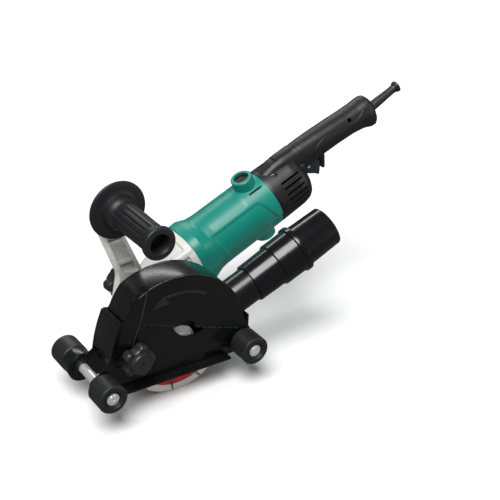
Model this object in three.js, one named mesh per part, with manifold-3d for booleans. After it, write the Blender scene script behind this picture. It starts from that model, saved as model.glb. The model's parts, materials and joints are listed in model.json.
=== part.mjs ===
// A hand-held wall chaser: a blade unit and motor that tilt about the rear axle of a four-roller base.
// Millimetres. +X runs to the rear along the cut, +Z is up, +Y runs from the open spindle end to the motor.
// The origin is the centre of the spindle's end face.
import * as THREE from "three";
import { mergeVertices } from "three/addons/utils/BufferGeometryUtils.js";
import Module from "manifold-3d";

const wasm = await Module();
wasm.setup();

// ---- Driving dimensions -------------------------------------------------------------------------
const GAP = 0.3; // between pieces that touch
const CUT = 1; // how far a cutting body runs past what it cuts

const ROLLER_D = 36;
const ROLLER_LENGTH = 29.5;
const AXLE_D = 12;
const WHEELBASE = 192.9;
const REAR_AXLE_X = 83.9; // behind the spindle
const AXLE_Z = -19; // below the spindle
const SOLE_WIDTH = 11.5; // foot turned out from the base's near plate, between the rollers
const RIDE_GAP = 2; // from the rollers' rolling surface up to the base's lower edge

const SHEET = 2.5; // steel sheet of the guard and base
const NEAR_FACE_Y = -7.4; // outer face of the guard's near plate
const FAR_FACE_Y = 35; // outer face of the guard's far plate
const BASE_SIDE_GAP = 2; // washer between the guard's and the base's far plates
const FAR_BOSS_LENGTH = 18.2;
const FAR_BOSS_R = 17.5;
const GUARD_R = 97.5;
const GUARD_CENTRE = [-10.5, -2];
const TAIL_R = 176.5; // the guard's front skirt, about the rear axle
const SHELL_R = 181.5; // the base's front shell, about the rear axle
const SHELL_FROM = 155.5; // degrees about the rear axle
const SHELL_TO = 173;
const TAIL_TO = 176;
const TONGUE_TO = 172; // end of the near plate's tongue, which the near knob clamps
const EAR_R = 13;
const LIP_FRONT = [-48.4, 43.9]; // front end of the near plate's lower edge
const LIP_REAR = [94.7, -6.3];
const NOTCH = { at: [3, 20], r: 14 }; // in the guard's near plate, above the spindle
const WINDOW = { at: [14, 37], r: 28 }; // in the base's near plate, behind the notch
const WEB_BEYOND_CLAMP = 4; // the near plate steps back to the flank this far outside the clamp's radius
const CLAMP_R = 153.5; // near clamping knob, about the rear axle
const FAR_CLAMP_R = 143;
const NEAR_KNOB_DEG = 169.5;
const FAR_KNOB_DEG = 148.3;
const TILT_UP = 17; // degrees
const TILT_DOWN = 5;
const BOLT_D = 6;
const KNOB_R = 21;
const KNOB_LENGTH = 22;

const BLADE_D = 140;
const BLADE_THICK = 2.4;
const BLADE_Y = 8;
const BLADE_PITCH = 16; // between the two blades
const SEGMENTS = 11;
const SEGMENT_H = 7;
const SLOT_W = 2.2;
const SLOT_DEPTH = 7; // into the core
const SLOT_LEAN = 18; // degrees from the radius
const FLANGE_R = 22;
const CORE_THICK = 1.8; // steel core of a blade
const BORE_R = 11;
const THREAD_R = 7;

const BETA = 25; // motor axis above the cut, degrees
const MOTOR_Y = 120; // where the motor axis crosses the spindle axis
const MOTOR_R = 38.5;
const MOTOR_WALL = 3;
const MOTOR_FRONT = 92; // along the motor axis from the spindle axis
const MOTOR_REAR = 222;
const BULGE_REAR = 281;
const BRUSH_X = 202;
const BRUSH_BOSS_R = 14.5;
const BRUSH_BOSS_TOP = 51;
const BRUSH_CAP_R = 9.6;
const GRIP_UP = 20.5; // rear grip's centre above the motor axis
const GRIP_R = 18.5;
const GRIP_REAR = 413;
const GRIP_WALL = 3;
const CORD_GUARD_DROP = 6; // below the grip's centre
const CORD_GUARD_LENGTH = 52;
const CORD_GUARD_RISE = 3; // degrees, steeper than the motor axis
const TRIGGER_FROM = 281; // the trigger's slot along the grip
const TRIGGER_TO = 313.5;
const TRIGGER_HALF = 7.8; // half its width
const TRIGGER_PIVOT = [294, 3];
const PIN_R = 2;
const BUTTON_R = 4;
const BUTTON_PLACE = [279, 0, 20];
const VENTS = 6; // on each side of the rear housing
const VENT_TOP = 20;
const VENT_PITCH = 9;

const NECK_R = 22.5;
const GEARBOX_FACE = 47;
const GEARBOX_R = 29.5;
const GEARBOX_WALL = 3.5;
const FRONT_BEARING_Y = 60.3;
const FRONT_BEARING_R = 18;
const MOTOR_BEARING_R = 15;
const NEEDLE_R = 9; // the bearing at the spindle's inner end
const NEEDLE_BORE_R = 6;
const SPINDLE_R = 8.5; // inside the front bearing
const SEAT_R = 8; // inside the bevel gear
const PINION_TEETH = 12;
const GEAR_TEETH = 31;
const GEAR_R = 24;
const TOOTH_FACE = 9;
const SHAFT_R = 5; // armature shaft
const ARMATURE_FROM = 125; // laminated core, along the motor axis
const ARMATURE_TO = 175;
const ARMATURE_R = 21;
const COMMUTATOR_R = 14;
const COMMUTATOR_HALF = 7.5;
const FAN_AT = 113;
const FAN_CLEARANCE = 4.5; // from the fan's blades to the housing's bore
const FAN_BLADES = 9;

const HANDLE_X = -56;
const HANDLE_Z = 170;
const HANDLE_NEAR = -50;
const HANDLE_DISC_Y = 44;
const HANDLE_DISC_R = 35;
const HANDLE_RING_R = 19.5;
const HANDLE_GRIP_R = 15.5;
const HANDLE_BORE_R = 11.5;
const HANDLE_FLOOR_Y = 20; // where the hollow grip closes
const STUD_R = 5;
const FLUTES = 10;
const ARM_NEAR = 54;
const ARM_BACK = 66;
const ARM_WALL = 4;

const DUCT_Y = 17;
const DUCT_DEG = 23.8;
const DUCT_FROM = [81.7, 28.8];
const SPOUT_R = 22.5;
const SPOUT_LENGTH = 46;
const CUFF_FROM = 30; // along the duct's axis
const CUFF_TO = 156;
const CUFF_COLLAR = [101, 108]; // raised ring round the cuff

// ---- Materials ----------------------------------------------------------------------------------
const paint = (color, roughness, metalness) =>
  new THREE.MeshStandardMaterial({ color, roughness, metalness });
const look = {
  blackSteel: () => paint(0x17181a, 0.3, 0.4),
  steel: () => paint(0xb9bbbd, 0.35, 0.9),
  rubber: () => paint(0x36383b, 0.75, 0),
  blackPlastic: () => paint(0x1c1d1f, 0.5, 0),
  teal: () => paint(0x0f8f7e, 0.4, 0),
  casting: () => paint(0xdcdcd8, 0.55, 0.2),
  red: () => paint(0xc22a30, 0.45, 0.1),
  greyPlastic: () => paint(0x4a4c50, 0.6, 0),
  copper: () => paint(0xb06a3a, 0.4, 0.9),
  carbon: () => paint(0x2b2b2b, 0.8, 0),
  darkBlue: () => paint(0x2d3b46, 0.55, 0),
};

// ---- Solids -------------------------------------------------------------------------------------
const rad = THREE.MathUtils.degToRad;

// A three.js geometry as a manifold-3d solid, with shared vertices merged and empty triangles left out.
function solid(geometry) {
  const bare = geometry.clone();
  bare.deleteAttribute("normal");
  bare.deleteAttribute("uv");
  const merged = mergeVertices(bare, 1e-4);
  const index = merged.index.array;
  const kept = [];
  for (let i = 0; i < index.length; i += 3) {
    const [a, b, c] = [index[i], index[i + 1], index[i + 2]];
    if (a !== b && b !== c && c !== a) kept.push(a, b, c);
  }
  const vertProperties = new Float32Array(merged.attributes.position.array);
  const triVerts = new Uint32Array(kept);
  return new wasm.Manifold(new wasm.Mesh({ numProp: 3, vertProperties, triVerts }));
}

function geometryOf(manifold) {
  const data = manifold.getMesh();
  const geometry = new THREE.BufferGeometry();
  geometry.setAttribute("position", new THREE.BufferAttribute(new Float32Array(data.vertProperties), 3));
  geometry.setIndex(new THREE.BufferAttribute(new Uint32Array(data.triVerts), 1));
  geometry.computeVertexNormals();
  return geometry;
}

// A solid of revolution about Y. The profile is a closed loop of [axial, radius].
function turned(profile, sides = 16) {
  const points = profile.map(([y, r]) => new THREE.Vector2(r, y));
  if (THREE.ShapeUtils.area(points) < 0) points.reverse();
  points.push(points[0].clone());
  return solid(new THREE.LatheGeometry(points, sides));
}

const disc = (y0, y1, r, sides = 16) => turned([[y0, 0], [y0, r], [y1, r], [y1, 0]], sides);
const tube = (y0, y1, inner, outer, sides = 16) =>
  turned([[y0, inner], [y0, outer], [y1, outer], [y1, inner]], sides);

// The same, about X.
const alongX = (body) => body.rotate([0, 0, -90]);

// A flat outline of [x, z] points as a plate between two Y planes.
function plate(outline, y0, y1) {
  const shape = new THREE.Shape(outline.map(([x, z]) => new THREE.Vector2(x, z)));
  const geometry = new THREE.ExtrudeGeometry(shape, { depth: y1 - y0, bevelEnabled: false });
  geometry.rotateX(Math.PI / 2);
  geometry.translate(0, y1, 0);
  return solid(geometry);
}

function block(x0, x1, y0, y1, z0, z1) {
  const geometry = new THREE.BoxGeometry(x1 - x0, y1 - y0, z1 - z0);
  geometry.translate((x0 + x1) / 2, (y0 + y1) / 2, (z0 + z1) / 2);
  return solid(geometry);
}

const pinAt = ([x, z], y0, y1, r, sides = 16) => disc(y0, y1, r, sides).translate([x, 0, z]);

// Points of an arc of [x, z], in degrees about a centre.
function arc([cx, cz], r, from, to, steps) {
  const points = [];
  for (let i = 0; i <= steps; i++) {
    const a = rad(from + ((to - from) * i) / steps);
    points.push([cx + r * Math.cos(a), cz + r * Math.sin(a)]);
  }
  return points;
}

const sum = (...bodies) => bodies.reduce((all, body) => all.add(body));

const assembly = new THREE.Group();
const motorGroup = new THREE.Group();
motorGroup.position.set(0, MOTOR_Y, 0);
motorGroup.rotation.y = -rad(BETA);
assembly.add(motorGroup);

function add(group, name, body, material) {
  const mesh = new THREE.Mesh(geometryOf(body), material());
  mesh.name = name;
  group.add(mesh);
  return mesh;
}

// From the motor's own frame (X along its axis) into the assembly's.
const fromMotor = (body) => body.rotate([0, -BETA, 0]).translate([0, MOTOR_Y, 0]);

// ---- Places -------------------------------------------------------------------------------------
const rearAxle = [REAR_AXLE_X, AXLE_Z];
const frontAxle = [REAR_AXLE_X - WHEELBASE, AXLE_Z];
const FLOOR_Z = AXLE_Z - ROLLER_D / 2;
const BASE_LOW = FLOOR_Z + RIDE_GAP;
const aboutPivot = (r, deg) => arc(rearAxle, r, deg, deg, 1)[0];
const sweepPivot = (r, from, to, steps) => arc(rearAxle, r, from, to, steps);
const nearKnob = aboutPivot(CLAMP_R, NEAR_KNOB_DEG);
const farKnob = aboutPivot(FAR_CLAMP_R, FAR_KNOB_DEG);
const spindleR = Math.hypot(REAR_AXLE_X, AXLE_Z);
const spindleDeg = THREE.MathUtils.radToDeg(Math.atan2(-AXLE_Z, -REAR_AXLE_X));
const basePlateY = NEAR_FACE_Y + SHEET + GAP;
const flankY = basePlateY + SHEET + GAP;
const wrapFarY = FAR_FACE_Y - SHEET - GAP;
const baseFarY = FAR_FACE_Y + BASE_SIDE_GAP;
const NECK_FRONT = FAR_FACE_Y - SHEET; // the neck starts level with the far plate's inner face
const rollerNearY = NEAR_FACE_Y - 1 - ROLLER_LENGTH;
const rollerFarY = baseFarY + SHEET + GAP + FAR_BOSS_LENGTH + GAP;
const boreClear = AXLE_D / 2 + GAP;
const bevel = GEAR_TEETH / PINION_TEETH;
const gearTop = MOTOR_Y - GEAR_R / bevel - GAP; // the gear's pitch circle, along the spindle
const gearBack = gearTop - 8;
const frontBearingEnd = FRONT_BEARING_Y + 13.4;
const rearBearingY = MOTOR_Y + 5.8;
const rearBearingEnd = rearBearingY + 8;
const gearboxBack = rearBearingEnd + 3;
const lastBlade = BLADE_Y + BLADE_PITCH;
const innerFlangeY = lastBlade + BLADE_THICK / 2 + GAP;
const innerFlangeEnd = innerFlangeY + 5.7;
const fanR = MOTOR_R - MOTOR_WALL - FAN_CLEARANCE;
const brushReach = COMMUTATOR_R + 0.4; // the carbon brushes' inner ends, from the motor axis

// Where the guard's hood, about its own centre, meets its front skirt, about the rear axle.
function tailStart() {
  const dx = REAR_AXLE_X - GUARD_CENTRE[0];
  const dz = AXLE_Z - GUARD_CENTRE[1];
  const d = Math.hypot(dx, dz);
  const turn = Math.acos((d * d + GUARD_R * GUARD_R - TAIL_R * TAIL_R) / (2 * d * GUARD_R));
  const a = Math.atan2(dz, dx) + turn;
  const x = GUARD_CENTRE[0] + GUARD_R * Math.cos(a);
  const z = GUARD_CENTRE[1] + GUARD_R * Math.sin(a);
  const toPivot = Math.atan2(z - AXLE_Z, x - REAR_AXLE_X);
  return { hoodDeg: THREE.MathUtils.radToDeg(a), pivotDeg: THREE.MathUtils.radToDeg(toPivot) };
}
const tail = tailStart();
const HOOD_FROM = 8; // degrees, where the hood's round part starts at the rear

// ---- Base: side plates, front shell, axles and rollers ------------------------------------------
const lipSlope = Math.atan2(LIP_FRONT[1] - LIP_REAR[1], LIP_FRONT[0] - LIP_REAR[0]);
const lipDeg = THREE.MathUtils.radToDeg(lipSlope);

function axleHoles(y0, y1) {
  const front = pinAt(frontAxle, y0 - CUT, y1 + CUT, AXLE_D / 2 + GAP);
  return front.add(pinAt(rearAxle, y0 - CUT, y1 + CUT, AXLE_D / 2 + GAP));
}

function baseNearPlate() {
  const y0 = basePlateY;
  const y1 = basePlateY + SHEET;
  const slotInner = CLAMP_R - BOLT_D / 2 - 1.5;
  const slotOuter = CLAMP_R + BOLT_D / 2 + 1.5;
  const slotEnd = NEAR_KNOB_DEG + TILT_DOWN + 3;
  const fanDeg = lipDeg - TILT_UP - 2;
  const lower = plate(
    [
      [REAR_AXLE_X, BASE_LOW],
      ...sweepPivot(EAR_R, -60, 60, 6),
      aboutPivot(slotInner, fanDeg),
      ...sweepPivot(slotInner, fanDeg + 2, slotEnd, 10),
      aboutPivot(slotOuter, slotEnd),
      aboutPivot(SHELL_R - SHEET, SHELL_TO - 1.5),
      aboutPivot(SHELL_R, SHELL_TO - 1.5),
      ...arc(frontAxle, EAR_R, 100, 250, 8),
      [frontAxle[0] + 33, BASE_LOW],
    ],
    y0,
    y1,
  );
  const inHood = pinAt(GUARD_CENTRE, y0 - CUT, y1 + CUT, GUARD_R - 11.5, 48);
  const belowHood = block(-200, 200, y0 - CUT, y1 + CUT, -100, 20);
  const window = pinAt(WINDOW.at, y0 - CUT, y1 + CUT, WINDOW.r, 24);
  const cut = lower.intersect(inHood.add(belowHood)).subtract(window).subtract(axleHoles(y0, y1));
  const reach = ROLLER_D / 2 + 3;
  const soleY = y0 - SOLE_WIDTH;
  const [x0, x1] = [frontAxle[0] + reach, REAR_AXLE_X - reach];
  return cut.add(block(x0, x1, soleY, y1, BASE_LOW, BASE_LOW + SHEET));
}

// The gearbox neck's path through the base's far plate as the blade unit tilts.
function neckSweep(y0, y1, clearance) {
  const r = NECK_R + clearance;
  const ends = [spindleDeg - TILT_UP, spindleDeg + TILT_DOWN];
  const band = plate(
    [...sweepPivot(spindleR + r, ends[0], ends[1], 8), ...sweepPivot(spindleR - r, ends[1], ends[0], 8)],
    y0 - CUT,
    y1 + CUT,
  );
  const rounds = ends.map((deg) => pinAt(aboutPivot(spindleR, deg), y0 - CUT, y1 + CUT, r, 24));
  return sum(band, ...rounds);
}

function baseFarPlate() {
  const y0 = baseFarY;
  const y1 = baseFarY + SHEET;
  const body = plate(
    [
      [REAR_AXLE_X, BASE_LOW],
      ...sweepPivot(EAR_R, -60, 100, 8),
      aboutPivot(30, 120),
      aboutPivot(FAR_CLAMP_R - 22, FAR_KNOB_DEG - 4),
      ...arc(farKnob, 12, 60, 160, 6),
      aboutPivot(SHELL_R - 8, SHELL_FROM),
      ...sweepPivot(SHELL_R, SHELL_FROM + 1, SHELL_TO, 4),
      ...arc(frontAxle, EAR_R, 100, 250, 8),
      [frontAxle[0] + 33, BASE_LOW],
    ],
    y0,
    y1,
  );
  const boltHole = pinAt(farKnob, y0 - CUT, y1 + CUT, BOLT_D / 2 + GAP);
  return body.subtract(neckSweep(y0, y1, 1.2)).subtract(boltHole).subtract(axleHoles(y0, y1));
}

function ringSector(outer, inner, from, to, steps, y0, y1) {
  return plate([...sweepPivot(outer, from, to, steps), ...sweepPivot(inner, to, from, steps)], y0, y1);
}

add(assembly, "base_near_plate", baseNearPlate(), look.blackSteel);
add(assembly, "base_far_plate", baseFarPlate(), look.blackSteel);
add(
  assembly,
  "base_front_shell",
  ringSector(SHELL_R, SHELL_R - SHEET, SHELL_FROM, SHELL_TO - 2, 6, basePlateY, baseFarY - GAP),
  look.blackSteel,
);

for (const [name, place] of [["front_axle", frontAxle], ["rear_axle", rearAxle]]) {
  const rod = disc(rollerNearY + 1, rollerFarY + ROLLER_LENGTH - 1, AXLE_D / 2);
  add(assembly, name, rod, look.steel).position.set(place[0], 0, place[1]);
}

for (const [name, place] of [["front_far_boss", frontAxle], ["rear_far_boss", rearAxle]]) {
  const boss = tube(baseFarY + SHEET + GAP, rollerFarY - GAP, boreClear, FAR_BOSS_R);
  add(assembly, name, boss, look.blackSteel).position.set(place[0], 0, place[1]);
}

// A roller with a shallow recess in its outer face, where the axle's end shows.
function roller(outerFirst) {
  const r = ROLLER_D / 2;
  const recess = 2.6;
  const profile = [
    [0, 9.6],
    [0, r - 1.2],
    [1.2, r],
    [ROLLER_LENGTH - 1.2, r],
    [ROLLER_LENGTH, r - 1.2],
    [ROLLER_LENGTH, boreClear],
    [recess, boreClear],
    [recess, 9.6],
  ];
  return turned(outerFirst ? profile : profile.map(([y, radius]) => [ROLLER_LENGTH - y, radius]), 20);
}
for (const [end, place] of [["front", frontAxle], ["rear", rearAxle]]) {
  for (const [side, y] of [["near", rollerNearY], ["far", rollerFarY]]) {
    const mesh = add(assembly, `roller_${end}_${side}`, roller(side === "near"), look.rubber);
    mesh.position.set(place[0], y, place[1]);
  }
}

// ---- Guard: near plate, hood, far plate ---------------------------------------------------------
function pivotEar(y0, y1) {
  const root = block(rearAxle[0] - EAR_R, LIP_REAR[0], y0, y1, AXLE_Z, LIP_REAR[1] + 3);
  return pinAt(rearAxle, y0, y1, EAR_R).add(root);
}

function guardNearPlate() {
  const face = plate(
    [
      LIP_REAR,
      ...arc(GUARD_CENTRE, GUARD_R, HOOD_FROM, tail.hoodDeg, 20),
      aboutPivot(CLAMP_R + 3, tail.pivotDeg + 1),
      ...sweepPivot(CLAMP_R + 3, lipDeg - 6.5, TONGUE_TO, 4),
      ...sweepPivot(CLAMP_R - 6, TONGUE_TO, lipDeg - 5.5, 4),
      LIP_FRONT,
    ],
    NEAR_FACE_Y,
    NEAR_FACE_Y + SHEET,
  );
  const ear = pivotEar(NEAR_FACE_Y, NEAR_FACE_Y + SHEET);
  const from = tail.pivotDeg + 0.5;
  const flankBack = flankY + SHEET;
  const flank = ringSector(TAIL_R, CLAMP_R - 8, from, TAIL_TO, 12, flankY, flankBack);
  const webOuter = CLAMP_R + WEB_BEYOND_CLAMP;
  const web = ringSector(webOuter, webOuter - SHEET, from, lipDeg - 6.5, 4, NEAR_FACE_Y, flankBack);
  const notch = pinAt(NOTCH.at, NEAR_FACE_Y - CUT, NEAR_FACE_Y + SHEET + CUT, NOTCH.r);
  const pivotHole = pinAt(rearAxle, NEAR_FACE_Y - CUT, NEAR_FACE_Y + SHEET + CUT, boreClear);
  const bolt = pinAt(nearKnob, NEAR_FACE_Y - CUT, flankBack + CUT, BOLT_D / 2 + GAP);
  return sum(face, ear, web, flank).subtract(notch).subtract(pivotHole).subtract(bolt);
}

function ductAxis(body) {
  return alongX(body).rotate([0, -DUCT_DEG, 0]).translate([DUCT_FROM[0], DUCT_Y, DUCT_FROM[1]]);
}

function guardHood() {
  const y0 = NEAR_FACE_Y + SHEET + GAP;
  const nearSide = flankY + SHEET + GAP;
  const inner = GUARD_R - SHEET;
  const hoodOuter = arc(GUARD_CENTRE, GUARD_R, HOOD_FROM, tail.hoodDeg, 24);
  const hoodInner = arc(GUARD_CENTRE, inner, tail.hoodDeg, HOOD_FROM, 24);
  const [rearX, rearZ] = [LIP_REAR[0], LIP_REAR[1] + 3];
  const outline = [[rearX, rearZ], ...hoodOuter, ...hoodInner, [rearX - SHEET, rearZ]];
  const hood = plate(outline, y0, wrapFarY);
  const from = tail.pivotDeg;
  const skirt = ringSector(TAIL_R, TAIL_R - SHEET, from - 1, TAIL_TO, 12, nearSide, wrapFarY);
  const web = ringSector(CLAMP_R + 9, CLAMP_R - 12, from - 1, from + 12, 3, y0 - CUT, nearSide);
  const flank = ringSector(TAIL_R + 9, CLAMP_R, from, TAIL_TO, 3, y0 - CUT, nearSide);
  const clearOfWeb = web.add(flank);
  const betweenEdges = block(0, 2 * REAR_AXLE_X, y0 + SHEET, wrapFarY - GAP, AXLE_Z, GUARD_R);
  const mouth = ductAxis(disc(-30, 30, SPOUT_R - 3)).intersect(betweenEdges);
  return hood.subtract(clearOfWeb).add(skirt).subtract(mouth);
}

function guardFarPlate() {
  const y0 = FAR_FACE_Y - SHEET;
  const y1 = FAR_FACE_Y;
  const face = plate(
    [
      LIP_REAR,
      ...arc(GUARD_CENTRE, GUARD_R, HOOD_FROM, tail.hoodDeg, 20),
      ...sweepPivot(TAIL_R, tail.pivotDeg + 1, TAIL_TO, 12),
      aboutPivot(CLAMP_R - 8, TAIL_TO),
      aboutPivot(CLAMP_R - 8, lipDeg + 6),
      [-30, -22],
      [40, -26],
    ],
    y0,
    y1,
  );
  const ear = pivotEar(y0, y1);
  const neck = pinAt([0, 0], y0 - CUT, y1 + CUT, NECK_R + GAP, 24);
  const pivotHole = pinAt(rearAxle, y0 - CUT, y1 + CUT, boreClear);
  return face.add(ear).subtract(neck).subtract(pivotHole);
}

add(assembly, "guard_near_plate", guardNearPlate(), look.blackSteel);
add(assembly, "guard_hood", guardHood(), look.blackSteel);
add(assembly, "guard_far_plate", guardFarPlate(), look.blackSteel);

// ---- Dust spout and hose cuff -------------------------------------------------------------------
const hoodRear = LIP_REAR[0] + GAP;
const hoodSolid = plate(
  [
    [hoodRear, -60],
    [hoodRear, LIP_REAR[1] + 3],
    ...arc(GUARD_CENTRE, GUARD_R + GAP, HOOD_FROM, 180, 40),
  ],
  -60,
  100,
);
add(
  assembly,
  "dust_spout",
  ductAxis(tube(-10, SPOUT_LENGTH, SPOUT_R - 2.5, SPOUT_R)).subtract(hoodSolid),
  look.blackSteel,
);
const cuffBody = turned(
  [
    [CUFF_FROM, SPOUT_R + GAP],
    [CUFF_FROM, 25],
    [69, 26],
    [69, 28.3],
    [CUFF_COLLAR[0], 28.6],
    [CUFF_COLLAR[0], 31],
    [CUFF_COLLAR[1], 31],
    [CUFF_COLLAR[1], 27.5],
    [CUFF_TO, 26.3],
    [CUFF_TO, 23.6],
    [76, 23.6],
    [SPOUT_LENGTH + 6, SPOUT_R - 1],
    [SPOUT_LENGTH + GAP, SPOUT_R + GAP],
  ],
  20,
);
add(assembly, "dust_cuff", ductAxis(cuffBody), look.blackPlastic);

// ---- Clamping knobs -----------------------------------------------------------------------------
// A five-lobed knob with a round cap and a bolt. Its bolt points to +Y from the knob's inner face at 0.
function starKnob(boltLength) {
  const lobes = 5;
  const outline = [];
  const steps = lobes * 4;
  for (let i = 0; i < steps; i++) {
    const a = (2 * Math.PI * i) / steps;
    const r = KNOB_R - 3 + 3 * Math.cos(lobes * a);
    outline.push([r * Math.cos(a), r * Math.sin(a)]);
  }
  const star = plate(outline, -KNOB_LENGTH + 6, -3);
  const hub = disc(-KNOB_LENGTH + 5, 0, 11);
  const cap = disc(-KNOB_LENGTH, -KNOB_LENGTH + 7, 13.5);
  return sum(star, hub, cap, disc(-CUT, boltLength, BOLT_D / 2));
}
const nearKnobY = NEAR_FACE_Y - 0.8;
const nearKnobBolt = flankY + SHEET - nearKnobY + 4;
const nearKnobMesh = add(assembly, "near_clamp_knob", starKnob(nearKnobBolt), look.blackPlastic);
nearKnobMesh.position.set(nearKnob[0], nearKnobY, nearKnob[1]);
const farKnobY = ARM_BACK + 1;
const farKnobMesh = add(assembly, "far_clamp_knob", starKnob(farKnobY - baseFarY), look.blackPlastic);
farKnobMesh.position.set(farKnob[0], farKnobY, farKnob[1]);
farKnobMesh.rotation.z = Math.PI;

// ---- Gearbox and handle arm ---------------------------------------------------------------------
function gearbox() {
  const domeBack = MOTOR_Y + 8;
  const barrel = [
    [GEARBOX_FACE, 0],
    [GEARBOX_FACE, GEARBOX_R - 4],
    [GEARBOX_FACE + 11, GEARBOX_R],
    [MOTOR_Y, GEARBOX_R],
    [domeBack, GEARBOX_R - 7],
    [domeBack, NEEDLE_R + 5],
    [gearboxBack, NEEDLE_R + 4],
    [gearboxBack, 0],
  ];
  const bellEnd = MOTOR_FRONT - GAP;
  const bell = [[8, 0], [8, 20], [45, 31], [76, 38], [bellEnd, MOTOR_R + 2], [bellEnd, 0]];
  const seatR = MOTOR_BEARING_R + GAP;
  const seatEnd = MOTOR_FRONT + CUT;
  const hollow = [[12, 0], [12, 16], [50, 27], [74, 33], [74, seatR], [seatEnd, seatR], [seatEnd, 0]];
  const outside = sum(
    disc(NECK_FRONT, GEARBOX_FACE + CUT, NECK_R, 24),
    turned(barrel, 24),
    fromMotor(alongX(turned(bell, 24))),
  );
  const inside = sum(
    disc(frontBearingEnd, rearBearingY - 0.5, GEARBOX_R - GEARBOX_WALL, 20),
    fromMotor(alongX(turned(hollow, 16))),
    disc(NECK_FRONT - CUT, FRONT_BEARING_Y, 12),
    disc(FRONT_BEARING_Y - GAP, frontBearingEnd + CUT, FRONT_BEARING_R + GAP),
    disc(rearBearingY - CUT, rearBearingEnd + GAP, NEEDLE_R + GAP),
  );
  return outside.subtract(inside);
}
add(assembly, "gearbox_housing", gearbox(), look.casting);

// A channel section open towards the blades: a web at the back, walls round the edge and two ribs.
function handleArm() {
  const edge = [
    ...arc([HANDLE_X, HANDLE_Z], 17, 20, 190, 8),
    [-74, 140],
    [-50, 78],
    aboutPivot(FAR_CLAMP_R + 10, FAR_KNOB_DEG + 8),
    aboutPivot(FAR_CLAMP_R + 10, FAR_KNOB_DEG + TILT_UP + 5),
    aboutPivot(FAR_CLAMP_R - 10, FAR_KNOB_DEG + TILT_UP + 5),
    aboutPivot(FAR_CLAMP_R - 12, FAR_KNOB_DEG + 10),
    [-14, 40],
    [22, 38],
    [40, 48],
    [22, 64],
    [-14, 66],
    [-43, 131],
  ];
  const body = plate(edge, ARM_NEAR, ARM_BACK);
  const trough = plate(
    [[-66, 154], [-68, 137], [-46, 82], [-24, 78], [-47, 130], [-46, 154]],
    ARM_NEAR - CUT,
    ARM_BACK - ARM_WALL,
  );
  const ribs = [92, 122].map((z) => block(-72, -20, ARM_NEAR + 3, ARM_BACK - 1, z, z + ARM_WALL));
  const [y0, y1] = [ARM_NEAR - CUT, ARM_BACK + CUT];
  const slotHalf = BOLT_D / 2 + 1;
  const slotFrom = FAR_KNOB_DEG - TILT_DOWN - 2;
  const slotTo = FAR_KNOB_DEG + TILT_UP + 2;
  const slot = ringSector(FAR_CLAMP_R + slotHalf, FAR_CLAMP_R - slotHalf, slotFrom, slotTo, 8, y0, y1);
  const stud = pinAt([HANDLE_X, HANDLE_Z], y0, y1, STUD_R + GAP);
  const bellSpace = fromMotor(alongX(disc(0, MOTOR_FRONT, MOTOR_R + 3, 24)));
  const gearboxSpace = disc(y0, y1, GEARBOX_R + GAP, 24).add(bellSpace);
  const ribbed = body.subtract(trough.subtract(sum(...ribs)));
  return ribbed.subtract(slot).subtract(stud).subtract(gearboxSpace);
}
add(assembly, "handle_arm", handleArm(), look.casting);

// ---- Side handle --------------------------------------------------------------------------------
function sideGrip() {
  const body = turned(
    [
      [HANDLE_NEAR, HANDLE_BORE_R],
      [HANDLE_NEAR, HANDLE_RING_R - 1],
      [HANDLE_NEAR + 1, HANDLE_RING_R],
      [HANDLE_NEAR + 6, HANDLE_RING_R],
      [HANDLE_NEAR + 9, HANDLE_GRIP_R],
      [30, HANDLE_GRIP_R + 1],
      [32, HANDLE_RING_R - 2],
      [HANDLE_DISC_Y - 3, HANDLE_RING_R - 1],
      [HANDLE_DISC_Y, HANDLE_DISC_R],
      [HANDLE_DISC_Y + 3, HANDLE_DISC_R],
      [HANDLE_DISC_Y + 5, 14],
      [ARM_NEAR - GAP, 13],
      [ARM_NEAR - GAP, STUD_R + GAP],
      [HANDLE_FLOOR_Y, STUD_R + GAP],
      [HANDLE_FLOOR_Y, HANDLE_BORE_R],
    ],
    20,
  );
  const flutes = [];
  const reach = HANDLE_GRIP_R + 1.6;
  for (const [x, z] of arc([0, 0], reach, 0, 360 - 360 / FLUTES, FLUTES - 1)) {
    flutes.push(pinAt([x, z], HANDLE_NEAR + 14, 26, 2.2, 4));
  }
  return body.subtract(sum(...flutes));
}
const grip = add(assembly, "side_handle", sideGrip(), look.greyPlastic);
grip.position.set(HANDLE_X, 0, HANDLE_Z);
const studBody = sum(
  disc(HANDLE_FLOOR_Y - 10, ARM_BACK + 2, STUD_R),
  disc(HANDLE_FLOOR_Y - 10, HANDLE_FLOOR_Y - 1, 8, 6),
  disc(ARM_BACK + GAP, ARM_BACK + 7, 9, 6),
);
const stud = add(assembly, "side_handle_stud", studBody, look.steel);
stud.position.set(HANDLE_X, 0, HANDLE_Z);

// ---- Spindle, bevel gear, flanges and blades ----------------------------------------------------
const spindleBody = turned(
  [
    [0, 0],
    [0, THREAD_R - 1],
    [1, THREAD_R],
    [innerFlangeEnd + GAP, THREAD_R],
    [innerFlangeEnd + GAP, 10],
    [FRONT_BEARING_Y - 1, 10],
    [FRONT_BEARING_Y - 1, SPINDLE_R],
    [frontBearingEnd + GAP, SPINDLE_R],
    [frontBearingEnd + GAP, 11],
    [gearBack - GAP, 11],
    [gearBack - GAP, SEAT_R],
    [rearBearingY - CUT, SEAT_R],
    [rearBearingY - CUT, NEEDLE_BORE_R],
    [rearBearingEnd, NEEDLE_BORE_R],
    [rearBearingEnd, 0],
  ],
);
add(assembly, "spindle", spindleBody, look.steel);
const gearTip = gearTop + TOOTH_FACE / bevel;
const gearBody = turned(
  [
    [gearBack, SEAT_R + GAP],
    [gearBack, GEAR_R - 4],
    [gearTop - 5, GEAR_R + 0.5],
    [gearTop, GEAR_R],
    [gearTip, GEAR_R - TOOTH_FACE],
    [gearTip, SEAT_R + GAP],
  ],
  24,
);
add(assembly, "bevel_gear", gearBody, look.steel);
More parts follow.
